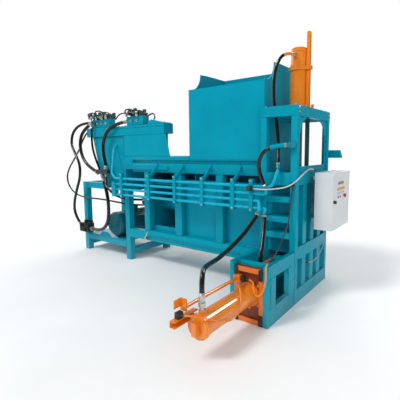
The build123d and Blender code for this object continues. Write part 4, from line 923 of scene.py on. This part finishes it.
ROUTES = (
    Route("hose_block_to_tee", 0.052, 1.103, (
        (-3.195, -0.5, 0.385), (-2.985, -0.505, 0.378), (-2.79, -0.52, 0.52),
        (-2.735, -0.535, 0.76), (-2.765, -0.53, 0.985), (-2.85, -0.517, 1.17),
    )),
    Route("hose_tee_to_pipes", 0.034, 0.278, (
        (-2.788, -0.522, 1.238), (-2.768, -0.548, 1.16), (-2.695, -0.592, 1.098),
        (-2.6, -0.6, 1.083),
    )),
    Route("hose_tee_to_left_valves", 0.052, 1.024, (
        (-3.035, -0.515, 1.318), (-3.24, -0.512, 1.39), (-3.43, -0.495, 1.56),
        (-3.505, -0.47, 1.78), (-3.47, -0.425, 1.96), (-3.352, -0.38, 2.046),
    )),
    Route("hose_tee_to_right_valves", 0.052, 0.889, (
        (-2.79, -0.515, 1.4), (-2.855, -0.505, 1.56), (-2.88, -0.492, 1.73),
        (-2.815, -0.488, 1.885), (-2.665, -0.478, 2), (-2.486, -0.4, 2.048),
    )),
    Route("hose_left_valves_to_block", 0.044, 2.111, (
        (-3.352, -0.312, 2.092), (-3.56, -0.385, 2.09), (-3.735, -0.44, 1.955),
        (-3.735, -0.48, 1.755), (-3.59, -0.505, 1.59), (-3.44, -0.53, 1.43), (-3.43, -0.54, 1.22),
        (-3.555, -0.535, 1), (-3.66, -0.525, 0.78), (-3.67, -0.515, 0.58), (-3.556, -0.503, 0.452),
    )),
    Route("hose_valves_to_main_rear", 0.027, 2.785, (
        (-3.348, -0.302, 2.016), (-3.47, -0.33, 1.955), (-3.56, -0.365, 1.83), (-3.62, -0.4, 1.67),
        (-3.73, -0.43, 1.51), (-3.88, -0.45, 1.35), (-3.95, -0.46, 1.18), (-3.86, -0.465, 1.01),
        (-3.64, -0.468, 0.9), (-3.33, -0.47, 0.875), (-3, -0.465, 0.88), (-2.74, -0.4, 0.85),
        (-2.56, -0.26, 0.8), (-2.45, -0.135, 0.79),
    )),
    Route("hose_valves_to_main_front", 0.034, 1.596, (
        (-3.175, -0.466, 1.99), (-3.195, -0.466, 1.76), (-3.13, -0.462, 1.54),
        (-3.01, -0.452, 1.31), (-2.87, -0.475, 1.085), (-2.7, -0.41, 0.93), (-2.54, -0.26, 0.88),
        (-2.42, -0.15, 0.878),
    )),
    Route("hose_press_top", 0.034, 1.338, (
        (0, -0.17, 2.63), (-0.035, -0.33, 2.625), (-0.09, -0.41, 2.45), (-0.105, -0.408, 2.24),
        (-0.095, -0.395, 2.05), (-0.062, -0.396, 1.86), (-0.028, -0.43, 1.64),
        (0.008, -0.512, 1.478),
    )),
    Route("hose_press_bottom", 0.042, 0.564, (
        (-0.095, -0.62, 1.265), (-0.155, -0.645, 1.405), (-0.125, -0.655, 1.56),
        (-0.03, -0.625, 1.65), (0.088, -0.556, 1.657),
    )),
    Route("hose_push_rear", 0.042, 1.311, (
        (-0.122, -0.722, 0.95), (-0.16, -0.85, 0.815), (-0.195, -1.06, 0.7), (-0.19, -1.31, 0.64),
        (-0.12, -1.55, 0.665), (-0.05, -1.72, 0.69), (-0.005, -1.8, 0.64), (0, -1.807, 0.535),
    )),
    Route("hose_push_front", 0.042, 0.490, (
        (-0.072, -0.65, 0.925), (-0.05, -0.705, 0.81), (-0.02, -0.79, 0.69), (-0.002, -0.86, 0.59),
        (0, -0.87, 0.5),
    )),
    Route("cable_control", 0.014, 0.861, (
        (0.25, -0.15, 1.4), (0.246, -0.24, 1.42), (0.236, -0.39, 1.375), (0.222, -0.52, 1.31),
        (0.15, -0.59, 1.245), (0.03, -0.632, 1.222), (-0.09, -0.658, 1.212),
        (-0.196, -0.655, 1.215),
    )),
    Route("cable_push_front", 0.014, 1.506, (
        (0.165, -0.512, 1.212), (0.15, -0.516, 1.06), (0.142, -0.53, 0.88), (0.134, -0.61, 0.775),
        (0.13, -0.73, 0.665), (0.15, -0.88, 0.612), (0.166, -1.01, 0.604), (0.19, -1.13, 0.592),
        (0.21, -1.158, 0.47), (0.192, -1.192, 0.36), (0.142, -1.218, 0.325),
        (0.102, -1.198, 0.395), (0.078, -1.14, 0.428), (0.026, -1.127, 0.432),
    )),
    Route("cable_push_rear", 0.014, 0.972, (
        (-0.038, -1.176, 0.424), (-0.016, -1.255, 0.43), (0.06, -1.335, 0.398), (0.11, -1.42, 0.3),
        (0.116, -1.53, 0.245), (0.112, -1.65, 0.27), (0.104, -1.76, 0.325), (0.082, -1.86, 0.372),
        (0.025, -1.925, 0.398), (-0.05, -1.962, 0.398),
    )),
    Route("cable_chamber", 0.014, 0.586, (
        (0.262, 0.15, 0.735), (0.28, 0.205, 0.62), (0.266, 0.19, 0.5), (0.246, 0.09, 0.405),
        (0.222, -0.04, 0.352), (0.196, -0.104, 0.362),
    )),
)


# Sub-assemblies


@dataclass
class SubAssembly:
    """A group of CAD nodes with their finishes, and the small parts that belong to them."""

    LOOKS = {}
    shop: Workshop

    def build(self) -> None:
        """Dress the nodes, then add the small parts."""
        for finish, nodes in self.LOOKS.items():
            for node in nodes:
                self.shop.dress(node, finish)
        self.parts()

    def parts(self) -> None:
        """Add the small parts."""
        raise NotImplementedError


@dataclass
class HoseWork(SubAssembly):
    """All hoses and cables, each a smooth line through the points of its route."""

    SHEATHS = {
        "cable_control": "grey_cable_sheath",
        "cable_push_front": "front_cable_sheath",
        "cable_push_rear": "orange_enamel",
        "cable_chamber": "pale_cable_sheath",
    }
    crimp_steps: tuple[float, ...] = (0.003, 0.010, 0.017)

    def parts(self) -> None:
        """Lay every route, and add the crimps, ties and painted elbows."""
        for route in ROUTES:
            self.lay(route)
        self.crimps()
        points = {route.node: route.points for route in ROUTES}
        self.oversprayed("press_top_elbow", points["hose_press_top"], 0.17, 0.0184, "orange_enamel")
        self.oversprayed("press_bottom_elbow", points["hose_press_bottom"][::-1], 0.14, 0.0224,
                         "teal_frame_enamel")

    def oversprayed(self, name: str, points: Sequence[Point], reach: float, radius: float,
                    finish: str) -> None:
        """Sleeve of paint over the steel elbow at a hose's end.

        Args:
            name: The piece's name.
            points: The hose's points, from the painted end on.
            reach: How far the paint goes.
            radius: The sleeve's radius.
            finish: Name of its finish.
        """
        line = smoothed(points)
        covered = [line[0]]
        length = 0.0
        for place in line[1:]:
            length += (Vector(place) - Vector(covered[-1])).length
            if length > reach:
                break
            covered.append(place)
        self.shop.add(Form().bent_bar(covered, radius, 20), name, finish)

    def lay(self, route: Route) -> None:
        """Args:
            route: Its facts and points.
        """
        data = bpy.data.curves.new(f"{route.node}_line", "CURVE")
        data.dimensions = "3D"
        spline = data.splines.new("NURBS")
        spline.points.add(len(route.points) - 1)
        for point, place in zip(spline.points, route.points):
            point.co = (*place, 1.0)
        spline.order_u = 3
        spline.use_endpoint_u = True
        spline.resolution_u = 12
        data.bevel_depth = route.diameter / 2
        data.bevel_resolution = 5
        data.use_fill_caps = True
        made = bpy.data.objects.new(f"{route.node}_run", data)
        bpy.context.scene.collection.objects.link(made)
        data.materials.append(self.shop.finishes[self.SHEATHS.get(route.node, "hose_rubber")])
        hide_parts(route.node)
        self.shop.keep(made, "frame", "cable_sheath" if route.is_cable else "hose_rubber")
        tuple(route.points[0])

    def crimps(self) -> None:
        """Press rings round both ferrules of every hose, and tie every cable."""
        rings, ties = [], []
        for route in ROUTES:
            if route.is_cable:
                line = smoothed(route.points)
                for i in range(8, len(line) - 8, 14):
                    along = (Vector(line[i + 1]) - Vector(line[i])).normalized()
                    ties.append(Anchor(line[i], tuple(along), route.diameter * 560))
                continue
            radius = route.diameter * 500 * 1.22
            for end, out in ends(route.points):
                rings += [Anchor(tuple(Vector(end) + out * step), tuple(out), radius)
                          for step in self.crimp_steps]
        self.shop.repeat(Hardware.CRIMP_RING, "zinc_plate", "ferrule_crimps", rings)
        self.shop.repeat(Hardware.CRIMP_RING, "black_nylon", "cable_ties", ties)


@dataclass
class PressChamber(SubAssembly):
    """The long chamber with its hopper: welds along the posts and seams, and bolts at the flange."""

    LOOKS = {
        "teal_frame_enamel": ("chamber_frame",),
        "teal_enamel": ("chamber_panels", "hopper", "main_cylinder", "main_platen"),
        "hard_chrome": ("main_rod",),
    }
    half: float = 0.424
    panel: float = 0.334
    sill_top: float = 0.5
    rail_bottom: float = 1.33
    deck: float = 1.507
    ram_z: float = 0.845
    end_x: float = -2.076
    posts: tuple[tuple[float, float], ...] = ((-2.063, -1.977), (-1.497, -1.383), (-0.834, -0.739))
    arms: tuple[float, ...] = (-1.79, -1.33, -0.9, -0.48)
    hopper_sides: tuple[float, float] = (-1.235, -0.2)

    def parts(self) -> None:
        """Bolt the cylinder's flange, and add the small plates and the welds."""
        bolts = ring((-2.105, 0.0, self.ram_z), Axis.LEFT, 0.124, 8, 11.0, 22.5)
        self.shop.repeat(Hardware.HEX_BOLT, "zinc_plate", "main_flange_bolts", bolts)
        # Skirt that closes the step between the tank's guard and the chamber's top rail
        skirt = Form().box((-2.476, -0.4235, 1.36), (-2.3005, -0.4165, 1.5495), 0.001)
        skirt.box((-2.32, -0.4165, 1.36), (-2.3005, -0.396, 1.5495), 0.001)
        strips = Form()
        for left, right in ((-2.29, -1.797), (-1.783, -1.6)):
            strips.box((left, -0.446, 1.3635), (right, -0.4245, 1.408), 0.002)
        plate = Form().box((-2.074, -0.326, 1.176), (-2.068, 0.326, 1.3295), 0.001)
        for form, name in ((skirt, "guard_skirt"), (strips, "band_strips"), (plate, "end_top_plate")):
            self.shop.add(form, name, "teal_enamel")
        self.welds()

    def welds(self) -> None:
        """Lay the weld beads of posts, rails and hopper."""
        runs: list[list[Point]] = []
        for side in (-1, 1):
            y = side * (self.panel + 0.002)
            face = side * (self.half + 0.001)
            for x0, x1 in self.posts:
                runs += [rise(x, y, self.sill_top, 1.24) for x in (x0 - 0.003, x1 + 0.003)]
                runs += [[(x0, face, z), (x1, face, z)] for z in (self.sill_top, self.rail_bottom)]
        front = -self.half - 0.001
        # Cylinder flange, arms to the pipe rack, and the end plate
        runs.append(circle((self.end_x, 0.0, self.ram_z), Axis.LEFT, 0.147, 56))
        runs += [rise(x + side, front, 1.376, 1.447) for x in self.arms for side in (-0.0095, 0.0095)]
        runs += [rise(self.end_x, y, 0.502, 1.148) for y in (-0.333, 0.333)]
        runs.append([(-2.064, -0.332, 0.521), (-2.064, 0.332, 0.521)])
        for x in self.hopper_sides:
            runs += [rise(x, front + 0.006, self.deck, 2.357), rise(x, 0.372, self.deck, 2.57)]
        left, right = self.hopper_sides
        runs += [[(left, y, self.deck + 0.002), (right, y, self.deck + 0.002)] for y in (front, 0.374)]
        self.shop.weld("chamber_welds", runs)


@dataclass
class Gantry(SubAssembly):
    """The upright press: frame, panels, head, cylinder and platen."""

    LOOKS = {
        "teal_frame_enamel": ("gantry_frame", "gantry_head"),
        "teal_enamel": ("gantry_panels", "bale_chamber", "outlet_collar", "press_platen"),
        "orange_enamel": ("press_cylinder",),
        "hard_chrome": ("press_rod",),
        "indicator_bar_paint": ("press_indicator",),
    }
    half_w: float = 0.2
    half_d: float = 0.495
    top: float = 2.055
    rungs: tuple[float, ...] = (1.1, 0.89, 0.72)
    plug: Profile = (
        (0.013, 0.0), (0.013, 0.03), (0.017, 0.03), (0.017, 0.046), (0.009, 0.052), (0.0, 0.052))

    def parts(self) -> None:
        """Bolt the head, the cylinder and the window, and add the plug, the rivets and the welds."""
        flange = ring((0, 0, 2.089), Axis.UP, 0.113, 8, 13.0, 22.5)
        self.shop.repeat(Hardware.HEX_BOLT, "orange_enamel", "press_flange_bolts", flange)
        studs = [Anchor((x, y, self.top), Axis.UP, 12.0, x + y)
                 for x in (-0.165, 0.165) for y in (-0.45, -0.3, 0.3, 0.45)]
        studs += [Anchor((self.half_w, y, z), Axis.RIGHT, 12.0, y)
                  for y in (-0.462, 0.462) for z in (1.99, 2.03)]
        self.shop.repeat(Hardware.HEX_BOLT, "zinc_plate", "gantry_head_bolts", studs)
        rim = [Anchor((0.182, y, z), Axis.RIGHT, 7.0, z) for y in (-0.408, 0.408) for z in (1.42, 1.56, 1.7)]
        self.shop.repeat(Hardware.HEX_BOLT, "blackened_bolt", "window_frame_bolts", rim)
        plug = Form().turned(self.plug, (0.165, 0.0, self.top + 0.0002), Axis.UP, 20)
        self.shop.add(plug, "head_plug", "orange_enamel")
        collar = [Anchor((x, 0.615, z), Axis.BACK, 8.0, x)
                  for x in (-0.141, 0.141) for z in (0.12, 0.27, 0.42)]
        self.shop.repeat(Hardware.RIVET, "teal_enamel", "outlet_collar_rivets", collar)
        self.welds()

    def welds(self) -> None:
        """Lay the weld beads of rungs, rails, ribs and the cylinder."""
        runs: list[list[Point]] = []
        inner = self.half_w - 0.065
        front = -self.half_d + 0.004
        for z in self.rungs:
            for edge in (z - 0.03, z + 0.03):
                runs += [[(x, front, edge), (x, front + 0.12, edge)] for x in (-inner, inner)]
            runs += [rise(x, front, z - 0.03, z + 0.03) for x in (-inner, inner)]
        for z in (0.47, 0.6, 1.25, 1.37):
            runs += [rise(self.half_w + 0.001, y, z - 0.02, z + 0.02) for y in (-0.43, 0.43)]
        for y in (-0.228, 0.0, 0.228):
            for side in (-0.05, 0.05):
                runs += [rise(0.149, y + side * 1.03, low, high) for low, high in ((0.15, 0.47), (0.6, 1.25))]
        for y in (-self.half_d, self.half_d):
            runs += [[(x, y, 1.951), (x * 0.7, y, 1.951)] for x in (-self.half_w, self.half_w)]
        self.shop.weld("gantry_welds", runs)
        rings = [circle((0, 0, 2.091), Axis.UP, 0.092), circle((0, 0, 2.679), Axis.UP, 0.0905)]
        self.shop.weld("press_cylinder_welds", rings, "orange_enamel", 0.004)


@dataclass
class PushUnit(SubAssembly):
    """The push box with its mounting plate, cylinder, rod and indicator."""

    LOOKS = {
        "teal_frame_enamel": ("push_box_frame",),
        "orange_enamel": ("push_cylinder", "push_indicator", "push_guide"),
        "mount_plate_paint": ("push_mount_plate",),
        "hard_chrome": ("push_rod",),
        "teal_enamel": ("push_platen",),
    }
    front: float = -1.102
    axis_z: float = 0.28

    def parts(self) -> None:
        """Add the black corner blocks of painted shade, the plate's bolts and the welds."""
        self.corner_shade()
        seat = self.front + 0.022
        bolts = [Anchor((x, seat, z), Axis.FRONT, 15.0, x + z)
                 for x in (-0.135, 0.135) for z in (0.029, 0.511)]
        bolts += [a for a in ring((0, seat, self.axis_z), Axis.FRONT, 0.131, 8, 12.0, 45.0)
                  if abs(a.at[0]) < 0.1 and 0.06 < a.at[2] < 0.48]
        self.shop.repeat(Hardware.HEX_BOLT, "orange_enamel", "mount_plate_bolts", bolts)
        self.welds()

    def corner_shade(self) -> None:
        """Black blocks in and over the four cut corners of the mounting plate: painted shade where the corner
        gaps show dark.
        """
        form = Form()
        for side in (-1, 1):
            for low, notch in ((0.006, 0.006), (0.434, 0.488)):
                x = sorted((side * 0.1495, side * 0.108))
                form.box((x[0], self.front - 0.009, low), (x[1], self.front - 0.0005, low + 0.1), 0.003)
                x = sorted((side * 0.1495, side * 0.1205))
                high = notch + 0.0465
                form.box((x[0], self.front - 0.002, notch), (x[1], self.front + 0.0215, high), 0.002)
        self.shop.add(form, "corner_pads", "black_nylon")

    def welds(self) -> None:
        """Lay the weld rings of the cylinder and the seams of the box."""
        rings = [circle((0, y, self.axis_z), Axis.BACK, radius)
                 for y, radius in ((-1.829, 0.0925), (-1.1, 0.094))]
        self.shop.weld("push_cylinder_welds", rings, "orange_enamel", 0.004)
        runs: list[list[Point]] = []
        for x in (-0.2, 0.2):
            for y in (self.front + 0.05, -0.643):
                runs += [[(x * 1.004, y - 0.02, z), (x * 1.004, y + 0.02, z)] for z in (0.165, 0.45)]
            runs.append(rise(x, -0.497, 0.012, 0.57))
        self.shop.weld("push_box_welds", runs)


@dataclass
class PowerUnit(SubAssembly):
    """Stand, tank, motor, pump and valves."""

    LOOKS = {
        "teal_frame_enamel": ("stand_frame", "valve_manifolds", "pipe_clamps"),
        "teal_enamel": ("oil_tank", "tank_lid"),
        "zinc_plate": ("filler_cap", "drain_lever"),
        "valve_stack": ("solenoid_valves",),
        "motor_enamel": ("motor_body", "motor_cowl"),
        "machined_steel": ("motor_shaft",),
        "black_block_paint": ("pump", "pump_block"),
        "pipe_enamel": ("steel_pipes",),
        "fitting_finish": ("hose_fittings",),
    }
    motor: Point = (-2.79, -0.395, 0.493)
    motor_radius: float = 0.187
    eye_radius: float = 0.026
    eye_back: float = 0.46
    eye_collar: Profile = ((0.016, -0.006), (0.016, 0.004), (0.009, 0.006), (0.009, 0.012))
    manifolds: tuple[tuple[float, float], ...] = ((-3.29, -2.83), (-2.43, -2.09))
    valve_pitch: float = 0.115
    valve_y: float = -0.335
    coil_ends: tuple[float, float] = (-0.463, -0.207)
    coil_z: float = 2.153
    valve_top: float = 2.191
    port_z: float = 2.05
    rail_z: tuple[float, float] = (1.037, 1.131)
    tank_foot: float = 1.133
    tank_front: float = -0.4
    lid_z: float = 1.985
    adaptor: Profile = (
        (0.014, -0.045), (0.0155, -0.04), (0.0155, -0.012), (0.018, -0.012), (0.018, 0.006), (0.012, 0.006),
        (0.012, 0.02))
    # Pilot hoses over the valves, by points set over the photograph
    loops: tuple[tuple[Point, ...], ...] = (
        ((-3.26, -0.24, 2.128), (-3.27, -0.21, 2.23), (-3.16, -0.18, 2.26), (-3.04, -0.21, 2.22),
         (-3.03, -0.24, 2.128)),
        ((-3.10, -0.43, 2.125), (-3.08, -0.48, 2.22), (-2.96, -0.49, 2.24), (-2.86, -0.46, 2.2),
         (-2.86, -0.43, 2.125)),
        ((-3.21, -0.43, 2.125), (-3.22, -0.5, 2.19), (-3.14, -0.53, 2.2), (-3.02, -0.52, 2.21),
         (-2.97, -0.43, 2.125)),
        ((-2.86, -0.24, 2.128), (-2.83, -0.2, 2.2), (-2.7, -0.19, 2.21), (-2.55, -0.21, 2.18),
         (-2.47, -0.25, 2.12), (-2.41, -0.262, 2.09)),
        ((-2.39, -0.43, 2.125), (-2.38, -0.48, 2.19), (-2.29, -0.49, 2.21), (-2.19, -0.47, 2.19),
         (-2.18, -0.43, 2.125)),
        ((-2.15, -0.24, 2.125), (-2.06, -0.22, 2.17), (-2.0, -0.24, 2.1), (-2.02, -0.275, 2.02),
         (-2.05, -0.29, 1.99)),
    )

    def parts(self) -> None:
        """Add the small parts from the valves down to the stand."""
        self.valves()
        self.tank()
        self.motor_parts()
        rack = [Anchor((x, -0.626, z), Axis.FRONT, 9.0, x * 3)
                for x in (-2.331, -1.79, -1.33, -0.9, -0.48, -0.25) for z in (1.294, 0.985)]
        self.shop.repeat(Hardware.HEX_BOLT, "zinc_plate", "pipe_clamp_bolts", rack)
        self.stand_seams()
        self.jumpers()

    def stand_seams(self) -> None:
        """Weld beads where the stand's rails meet its legs."""
        runs: list[list[Point]] = []
        for x, inward in ((-3.439, 0.004), (-2.490, -0.004)):
            for y, out in ((-0.425, -1), (0.451, 1)):
                for low, high in (self.rail_z, (0.184, 0.265)):
                    runs.append(rise(x + inward, y, low, high))
                    runs.append([(x + inward, y - out * 0.004, low), (x + inward, y - out * 0.085, low)])
        for y in (-0.332, 0.358):
            for x in (-3.53, -3.438, -2.49, -2.399):
                runs += [rise(x, y, *self.rail_z), rise(x, y, 0.08, 0.16)]
        self.shop.weld("stand_welds", runs)

    def jumpers(self) -> None:
        """Short black pilot hoses and plated adaptors that loop over the valves."""
        hoses, metal = Form(), Form()
        for points in self.loops:
            hoses.bent_bar(smoothed(points), 0.0105)
            for end, out in ends(points):
                metal.turned(self.adaptor, end, tuple(out), 12)
        self.shop.add(hoses, "pilot_hoses", "hose_rubber")
        self.shop.add(metal, "pilot_adaptors", "zinc_plate")

    def valves(self) -> None:
        """Nuts on the coils, screws on the valve bodies, and plugs in the manifolds."""
        nuts, screws, plugs = [], [], []
        for x0, x1 in self.manifolds:
            count = int((x1 - x0) / self.valve_pitch + 1e-6)
            start = (x0 + x1) / 2 - (count - 1) * self.valve_pitch / 2
            for i in range(count):
                x = start + i * self.valve_pitch
                nuts += [Anchor((x, y, self.coil_z), way, 13.0)
                         for y, way in zip(self.coil_ends, (Axis.FRONT, Axis.BACK))]
                screws += [Anchor((x + dx, self.valve_y + dy, self.valve_top), Axis.UP, 6.0)
                           for dx in (-0.026, 0.026) for dy in (-0.036, 0.036)]
                plugs.append(Anchor((x, self.tank_front, self.port_z), Axis.FRONT, 16.0, 0.3 * i))
        self.shop.repeat(Hardware.ROUND_NUT, "zinc_plate", "coil_nuts", nuts)
        self.shop.repeat(Hardware.SOCKET_SCREW, "blackened_bolt", "valve_screws", screws)
        self.shop.repeat(Hardware.HEX_BOLT, "zinc_plate", "manifold_plugs", plugs)

    def tank(self) -> None:
        """Seams of the tank and its guard, and screws of the lid."""
        foot, top, front, guard, deck = self.tank_foot, 1.848, self.tank_front, -0.425, 1.551
        runs = [
            [(-3.05, front, foot), (-3.233, front, top)],
            rise(-2.476, front, foot, 1.55),
            [(-3.05, front, foot), (-2.476, front, foot)],
            rise(-2.476, guard, 1.55, top),
            [(-3.05, 0.373, foot), (-3.233, 0.373, top)],
            [(-2.475, -0.38, 1.14), (-2.475, 0.36, 1.14)],
            rise(-2.475, 0.371, 1.14, 1.845),
            [(-2.46, guard, deck), (-1.575, guard, deck)],
        ]
        for x in (-2.15, -1.76):
            for face in (x - 0.001, x + 0.009):
                runs += [[(face, -0.41, deck), (face, -0.26, deck)], rise(face, -0.415, 1.56, 1.84)]
        self.shop.weld("tank_welds", runs, "teal_enamel")
        screws = []
        # The front row ends at the sloping cover, the back row where the deep part of the lid does
        for i in range(10):
            x = -3.33 + i * 0.15
            screws.append(Anchor((x, -0.42, self.lid_z), Axis.UP, 7.0, i))
            if x < -2.43:
                screws.append(Anchor((x, 0.362, self.lid_z), Axis.UP, 7.0, i * 0.7))
        self.shop.repeat(Hardware.HEX_BOLT, "blackened_bolt", "lid_screws", screws)

    def motor_parts(self) -> None:
        """Screws of the cowl, and the lifting eye."""
        x, y, z = self.motor
        radius = self.motor_radius
        corners = [(math.cos(a), math.sin(a)) for a in (math.radians(45 + 90 * i) for i in range(4))]
        rim = [Anchor((x + radius * c, y + 0.112, z + radius * s), (c, 0.0, s), 6.0) for c, s in corners]
        self.shop.repeat(Hardware.SOCKET_SCREW, "zinc_plate", "cowl_screws", rim)
        loop = [(x + self.eye_radius * math.cos(a), y + self.eye_back,
                 z + radius + 0.03 + self.eye_radius * math.sin(a))
                for a in (2 * math.pi * i / 20 for i in range(20))]
        eye = Form().bent_bar(loop + loop[:1], 0.007, 10)
        eye.turned(self.eye_collar, (x, y + self.eye_back, z + radius), Axis.UP, 16)
        self.shop.add(eye, "motor_lifting_eye", "motor_enamel")


@dataclass
class ControlCabinet(SubAssembly):
    """The switch cabinet, its door and its controls."""

    LOOKS = {
        "cabinet_powder_coat": ("cabinet_body", "cabinet_door"),
        "black_nylon": ("door_lock", "sensors_and_glands"),
        "amber_lens": ("pilot_lamps",),
        "green_lens": ("start_button",),
        "red_lens": ("stop_button", "emergency_stop"),
    }
    face: float = 0.48
    lamps: tuple[float, ...] = (-0.06, 0.01, 0.08, 0.15)
    label: float = 0.0008
    roof: float = 1.3702
    seal: float = 0.012
    bezel: Profile = (
        (0.0155, 0.0), (0.019, 0.0), (0.019, 0.003), (0.0165, 0.0045), (0.0155, 0.0045))

    def parts(self) -> None:
        """Add what is on the door, and the parts of the wall and the roof."""
        self.fascia()
        self.gasket()
        self.fasteners()

    def fascia(self) -> None:
        """Blank labels, the warning sign and lamp bezels on the door."""
        face, out = self.face, self.face + self.label
        labels, bezels = Form(), Form()
        for y in self.lamps:
            labels.box((face, y - 0.02, 1.145), (out, y + 0.02, 1.157))
            bezels.turned(self.bezel, (face, y, 1.19), Axis.RIGHT, 28)
        labels.box((face, self.lamps[0], 1.24), (out, self.lamps[-1], 1.27))
        self.shop.add(labels, "door_labels", "grey_nylon", "door")
        corners = [(face, 0.235, 1.2), (face, 0.315, 1.2), (face, 0.275, 1.27)]
        sign = Form().plate(corners, (self.label, 0.0, 0.0))
        self.shop.add(sign, "warning_sign", "amber_lens", "door")
        self.shop.add(bezels, "lamp_bezels", "machined_steel", "door")

    def gasket(self) -> None:
        """Seal round the cabinet's mouth."""
        (y0, z0), (y1, z1) = (-0.212, 0.778), (0.372, 1.362)
        low, high = z0 + self.seal, z1 - self.seal
        seal = Form()
        for left, right, foot, top in ((y0, y1, z0, low), (y0, y1, high, z1), (y0, y0 + self.seal, low, high),
                                       (y1 - self.seal, y1, low, high)):
            seal.box((0.4595, left, foot), (0.4603, right, top))
        self.shop.add(seal, "door_gasket", "door_seal")

    def fasteners(self) -> None:
        """Bolts of the cabinet's brackets, and the cover plate on its roof with its screws."""
        bolts = [Anchor((0.245, y, z), Axis.UP, 8.0, y) for y in (0.0, 0.228) for z in (1.32, 0.85)]
        self.shop.repeat(Hardware.HEX_BOLT, "zinc_plate", "bracket_bolts", bolts)
        top = self.roof + 0.003
        cover = Form().box((0.33, -0.05, self.roof), (0.43, 0.21, top), 0.001)
        self.shop.add(cover, "roof_cover", "cabinet_powder_coat")
        screws = [Anchor((x, y, top), Axis.UP, 3.5, x)
                  for x in (0.338, 0.422) for y in (-0.042, 0.08, 0.202)]
        self.shop.repeat(Hardware.SOCKET_SCREW, "blackened_bolt", "roof_cover_screws", screws)


# Studio


class Shows(Enum):
    """The light in which a lamp shows."""

    ALL = "all"
    GLOSS = "gloss"
    DIFFUSE = "diffuse"


@dataclass(frozen=True)
class Lamp:
    """A soft sun: direction towards it, strength, and size in the sky in degrees."""

    name: str
    towards: Point
    strength: float
    angle: float
    shows: Shows = Shows.ALL

    def hang(self) -> None:
        """Add it to the scene."""
        data = bpy.data.lights.new(self.name, "SUN")
        data.energy = self.strength
        data.angle = math.radians(self.angle)
        made = bpy.data.objects.new(self.name, data)
        made.rotation_euler = Vector(self.towards).to_track_quat("Z", "Y").to_euler()
        made.visible_glossy = self.shows is not Shows.DIFFUSE
        made.visible_diffuse = self.shows is not Shows.GLOSS
        bpy.context.scene.collection.objects.link(made)


@dataclass
class Studio:
    """Floor, lamps, world and the photograph's camera."""

    place: Point = (1.5573, -3.8332, 1.6)
    right: Point = (0.79725, 0.60356, -0.01023)
    up: Point = (-0.05795, 0.09340, 0.99394)
    back: Point = (0.60085, -0.79183, 0.10944)
    focal_px: float = 348.97
    centre_px: tuple[float, float] = (202.914, 190.327)
    frame_px: float = 400.0
    sensor_mm: float = 36.0
    panel: Point = (-0.93, -0.05, 0.35)
    back_panel: Point = (-0.5, 0.75, 0.5)
    panel_glow: float = 3.2
    room: float = 0.25
    lamps: tuple[Lamp, ...] = (
        Lamp("key_sun", (-0.35, -0.75, 0.95), 1.45, 14),
        Lamp("side_sun", (0.72, -0.62, 0.42), 0.78, 30, Shows.DIFFUSE),
        Lamp("glint_sun", (0.3, 0.75, 0.6), 1.3, 8, Shows.GLOSS),
        Lamp("back_sun", (-0.3, 0.8, 0.8), 0.6, 50),
    )

    def camera(self) -> None:
        """Set the camera where the photographer stood."""
        data = bpy.data.cameras.new("photo_camera")
        data.sensor_width = self.sensor_mm
        data.sensor_fit = "HORIZONTAL"
        data.lens = self.focal_px / self.frame_px * self.sensor_mm
        data.shift_x = -(self.centre_px[0] - self.frame_px / 2) / self.frame_px
        data.shift_y = (self.centre_px[1] - self.frame_px / 2) / self.frame_px
        data.clip_end = 100.0
        made = bpy.data.objects.new("photo_camera", data)
        turn = Matrix((self.right, self.up, self.back)).transposed()
        made.matrix_world = Matrix.Translation(Vector(self.place)) @ turn.to_4x4()
        bpy.context.scene.collection.objects.link(made)
        bpy.context.scene.camera = made

    def world(self) -> None:
        """Even sky light, soft panels in a dim room that show in gloss only, and white for the camera."""
        world = bpy.data.worlds.new("studio_sky")
        world.use_nodes = True
        world.node_tree.nodes.clear()
        bench = Bench(world.node_tree)
        sky = bench.node("ShaderNodeBackground", {"Color": (0.96, 0.98, 1.0, 1.0), "Strength": 0.55})
        white = bench.node("ShaderNodeBackground", {"Color": (*EVEN, 1.0), "Strength": 1.0})
        towards = bench.node("ShaderNodeTexCoord").outputs["Generated"]
        facing = [bench.node("ShaderNodeVectorMath", {0: towards, 1: tuple(Vector(place).normalized())},
                             operation="DOT_PRODUCT").outputs["Value"]
                  for place in (self.panel, self.back_panel)]
        glow = bench.band(bench.math("MAXIMUM", *facing), 0.84, 0.9, self.room, self.panel_glow)
        room = bench.node("ShaderNodeBackground", {"Strength": glow})
        ray = bench.node("ShaderNodeLightPath").outputs
        light = sky.outputs[0]
        for test, seen in (("Is Glossy Ray", room), ("Is Camera Ray", white)):
            light = bench.node("ShaderNodeMixShader", {0: ray[test], 1: light, 2: seen.outputs[0]}).outputs[0]
        bench.node("ShaderNodeOutputWorld", {0: light})
        bpy.context.scene.world = world

    def floor(self) -> None:
        """Pale floor that keeps the object's shadow."""
        corners = [(-14, -12, -0.001), (12, -12, -0.001), (12, 14, -0.001), (-14, 14, -0.001)]
        bench = ShaderBench("pale_floor")
        tone = bench.blend(bench.patches((0.8, 3.0), 0.3, 0.7), (244, 244, 243), (250, 250, 250))
        made = Form().plate(corners, (0, 0, -0.02)).done("studio_floor", bench.finished(tone, 0.85))

    def build(self) -> None:
        """Build the whole studio."""
        bpy.context.scene.view_settings.view_transform = "Standard"
        self.camera()
        self.world()
        self.floor()
        for lamp in self.lamps:
            lamp.hang()


def main() -> None:
    """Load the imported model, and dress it."""
    logging.basicConfig(level=logging.INFO, format="%(name)s: %(message)s")
    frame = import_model()
    Studio().build()
    shop = Workshop(frame["nodes"])
    for kind in (HoseWork, PressChamber, Gantry, PushUnit, PowerUnit, ControlCabinet):
        kind(shop).build()
        LOG.info("%s done", kind.__name__)


if __name__ == "__main__":
    main()
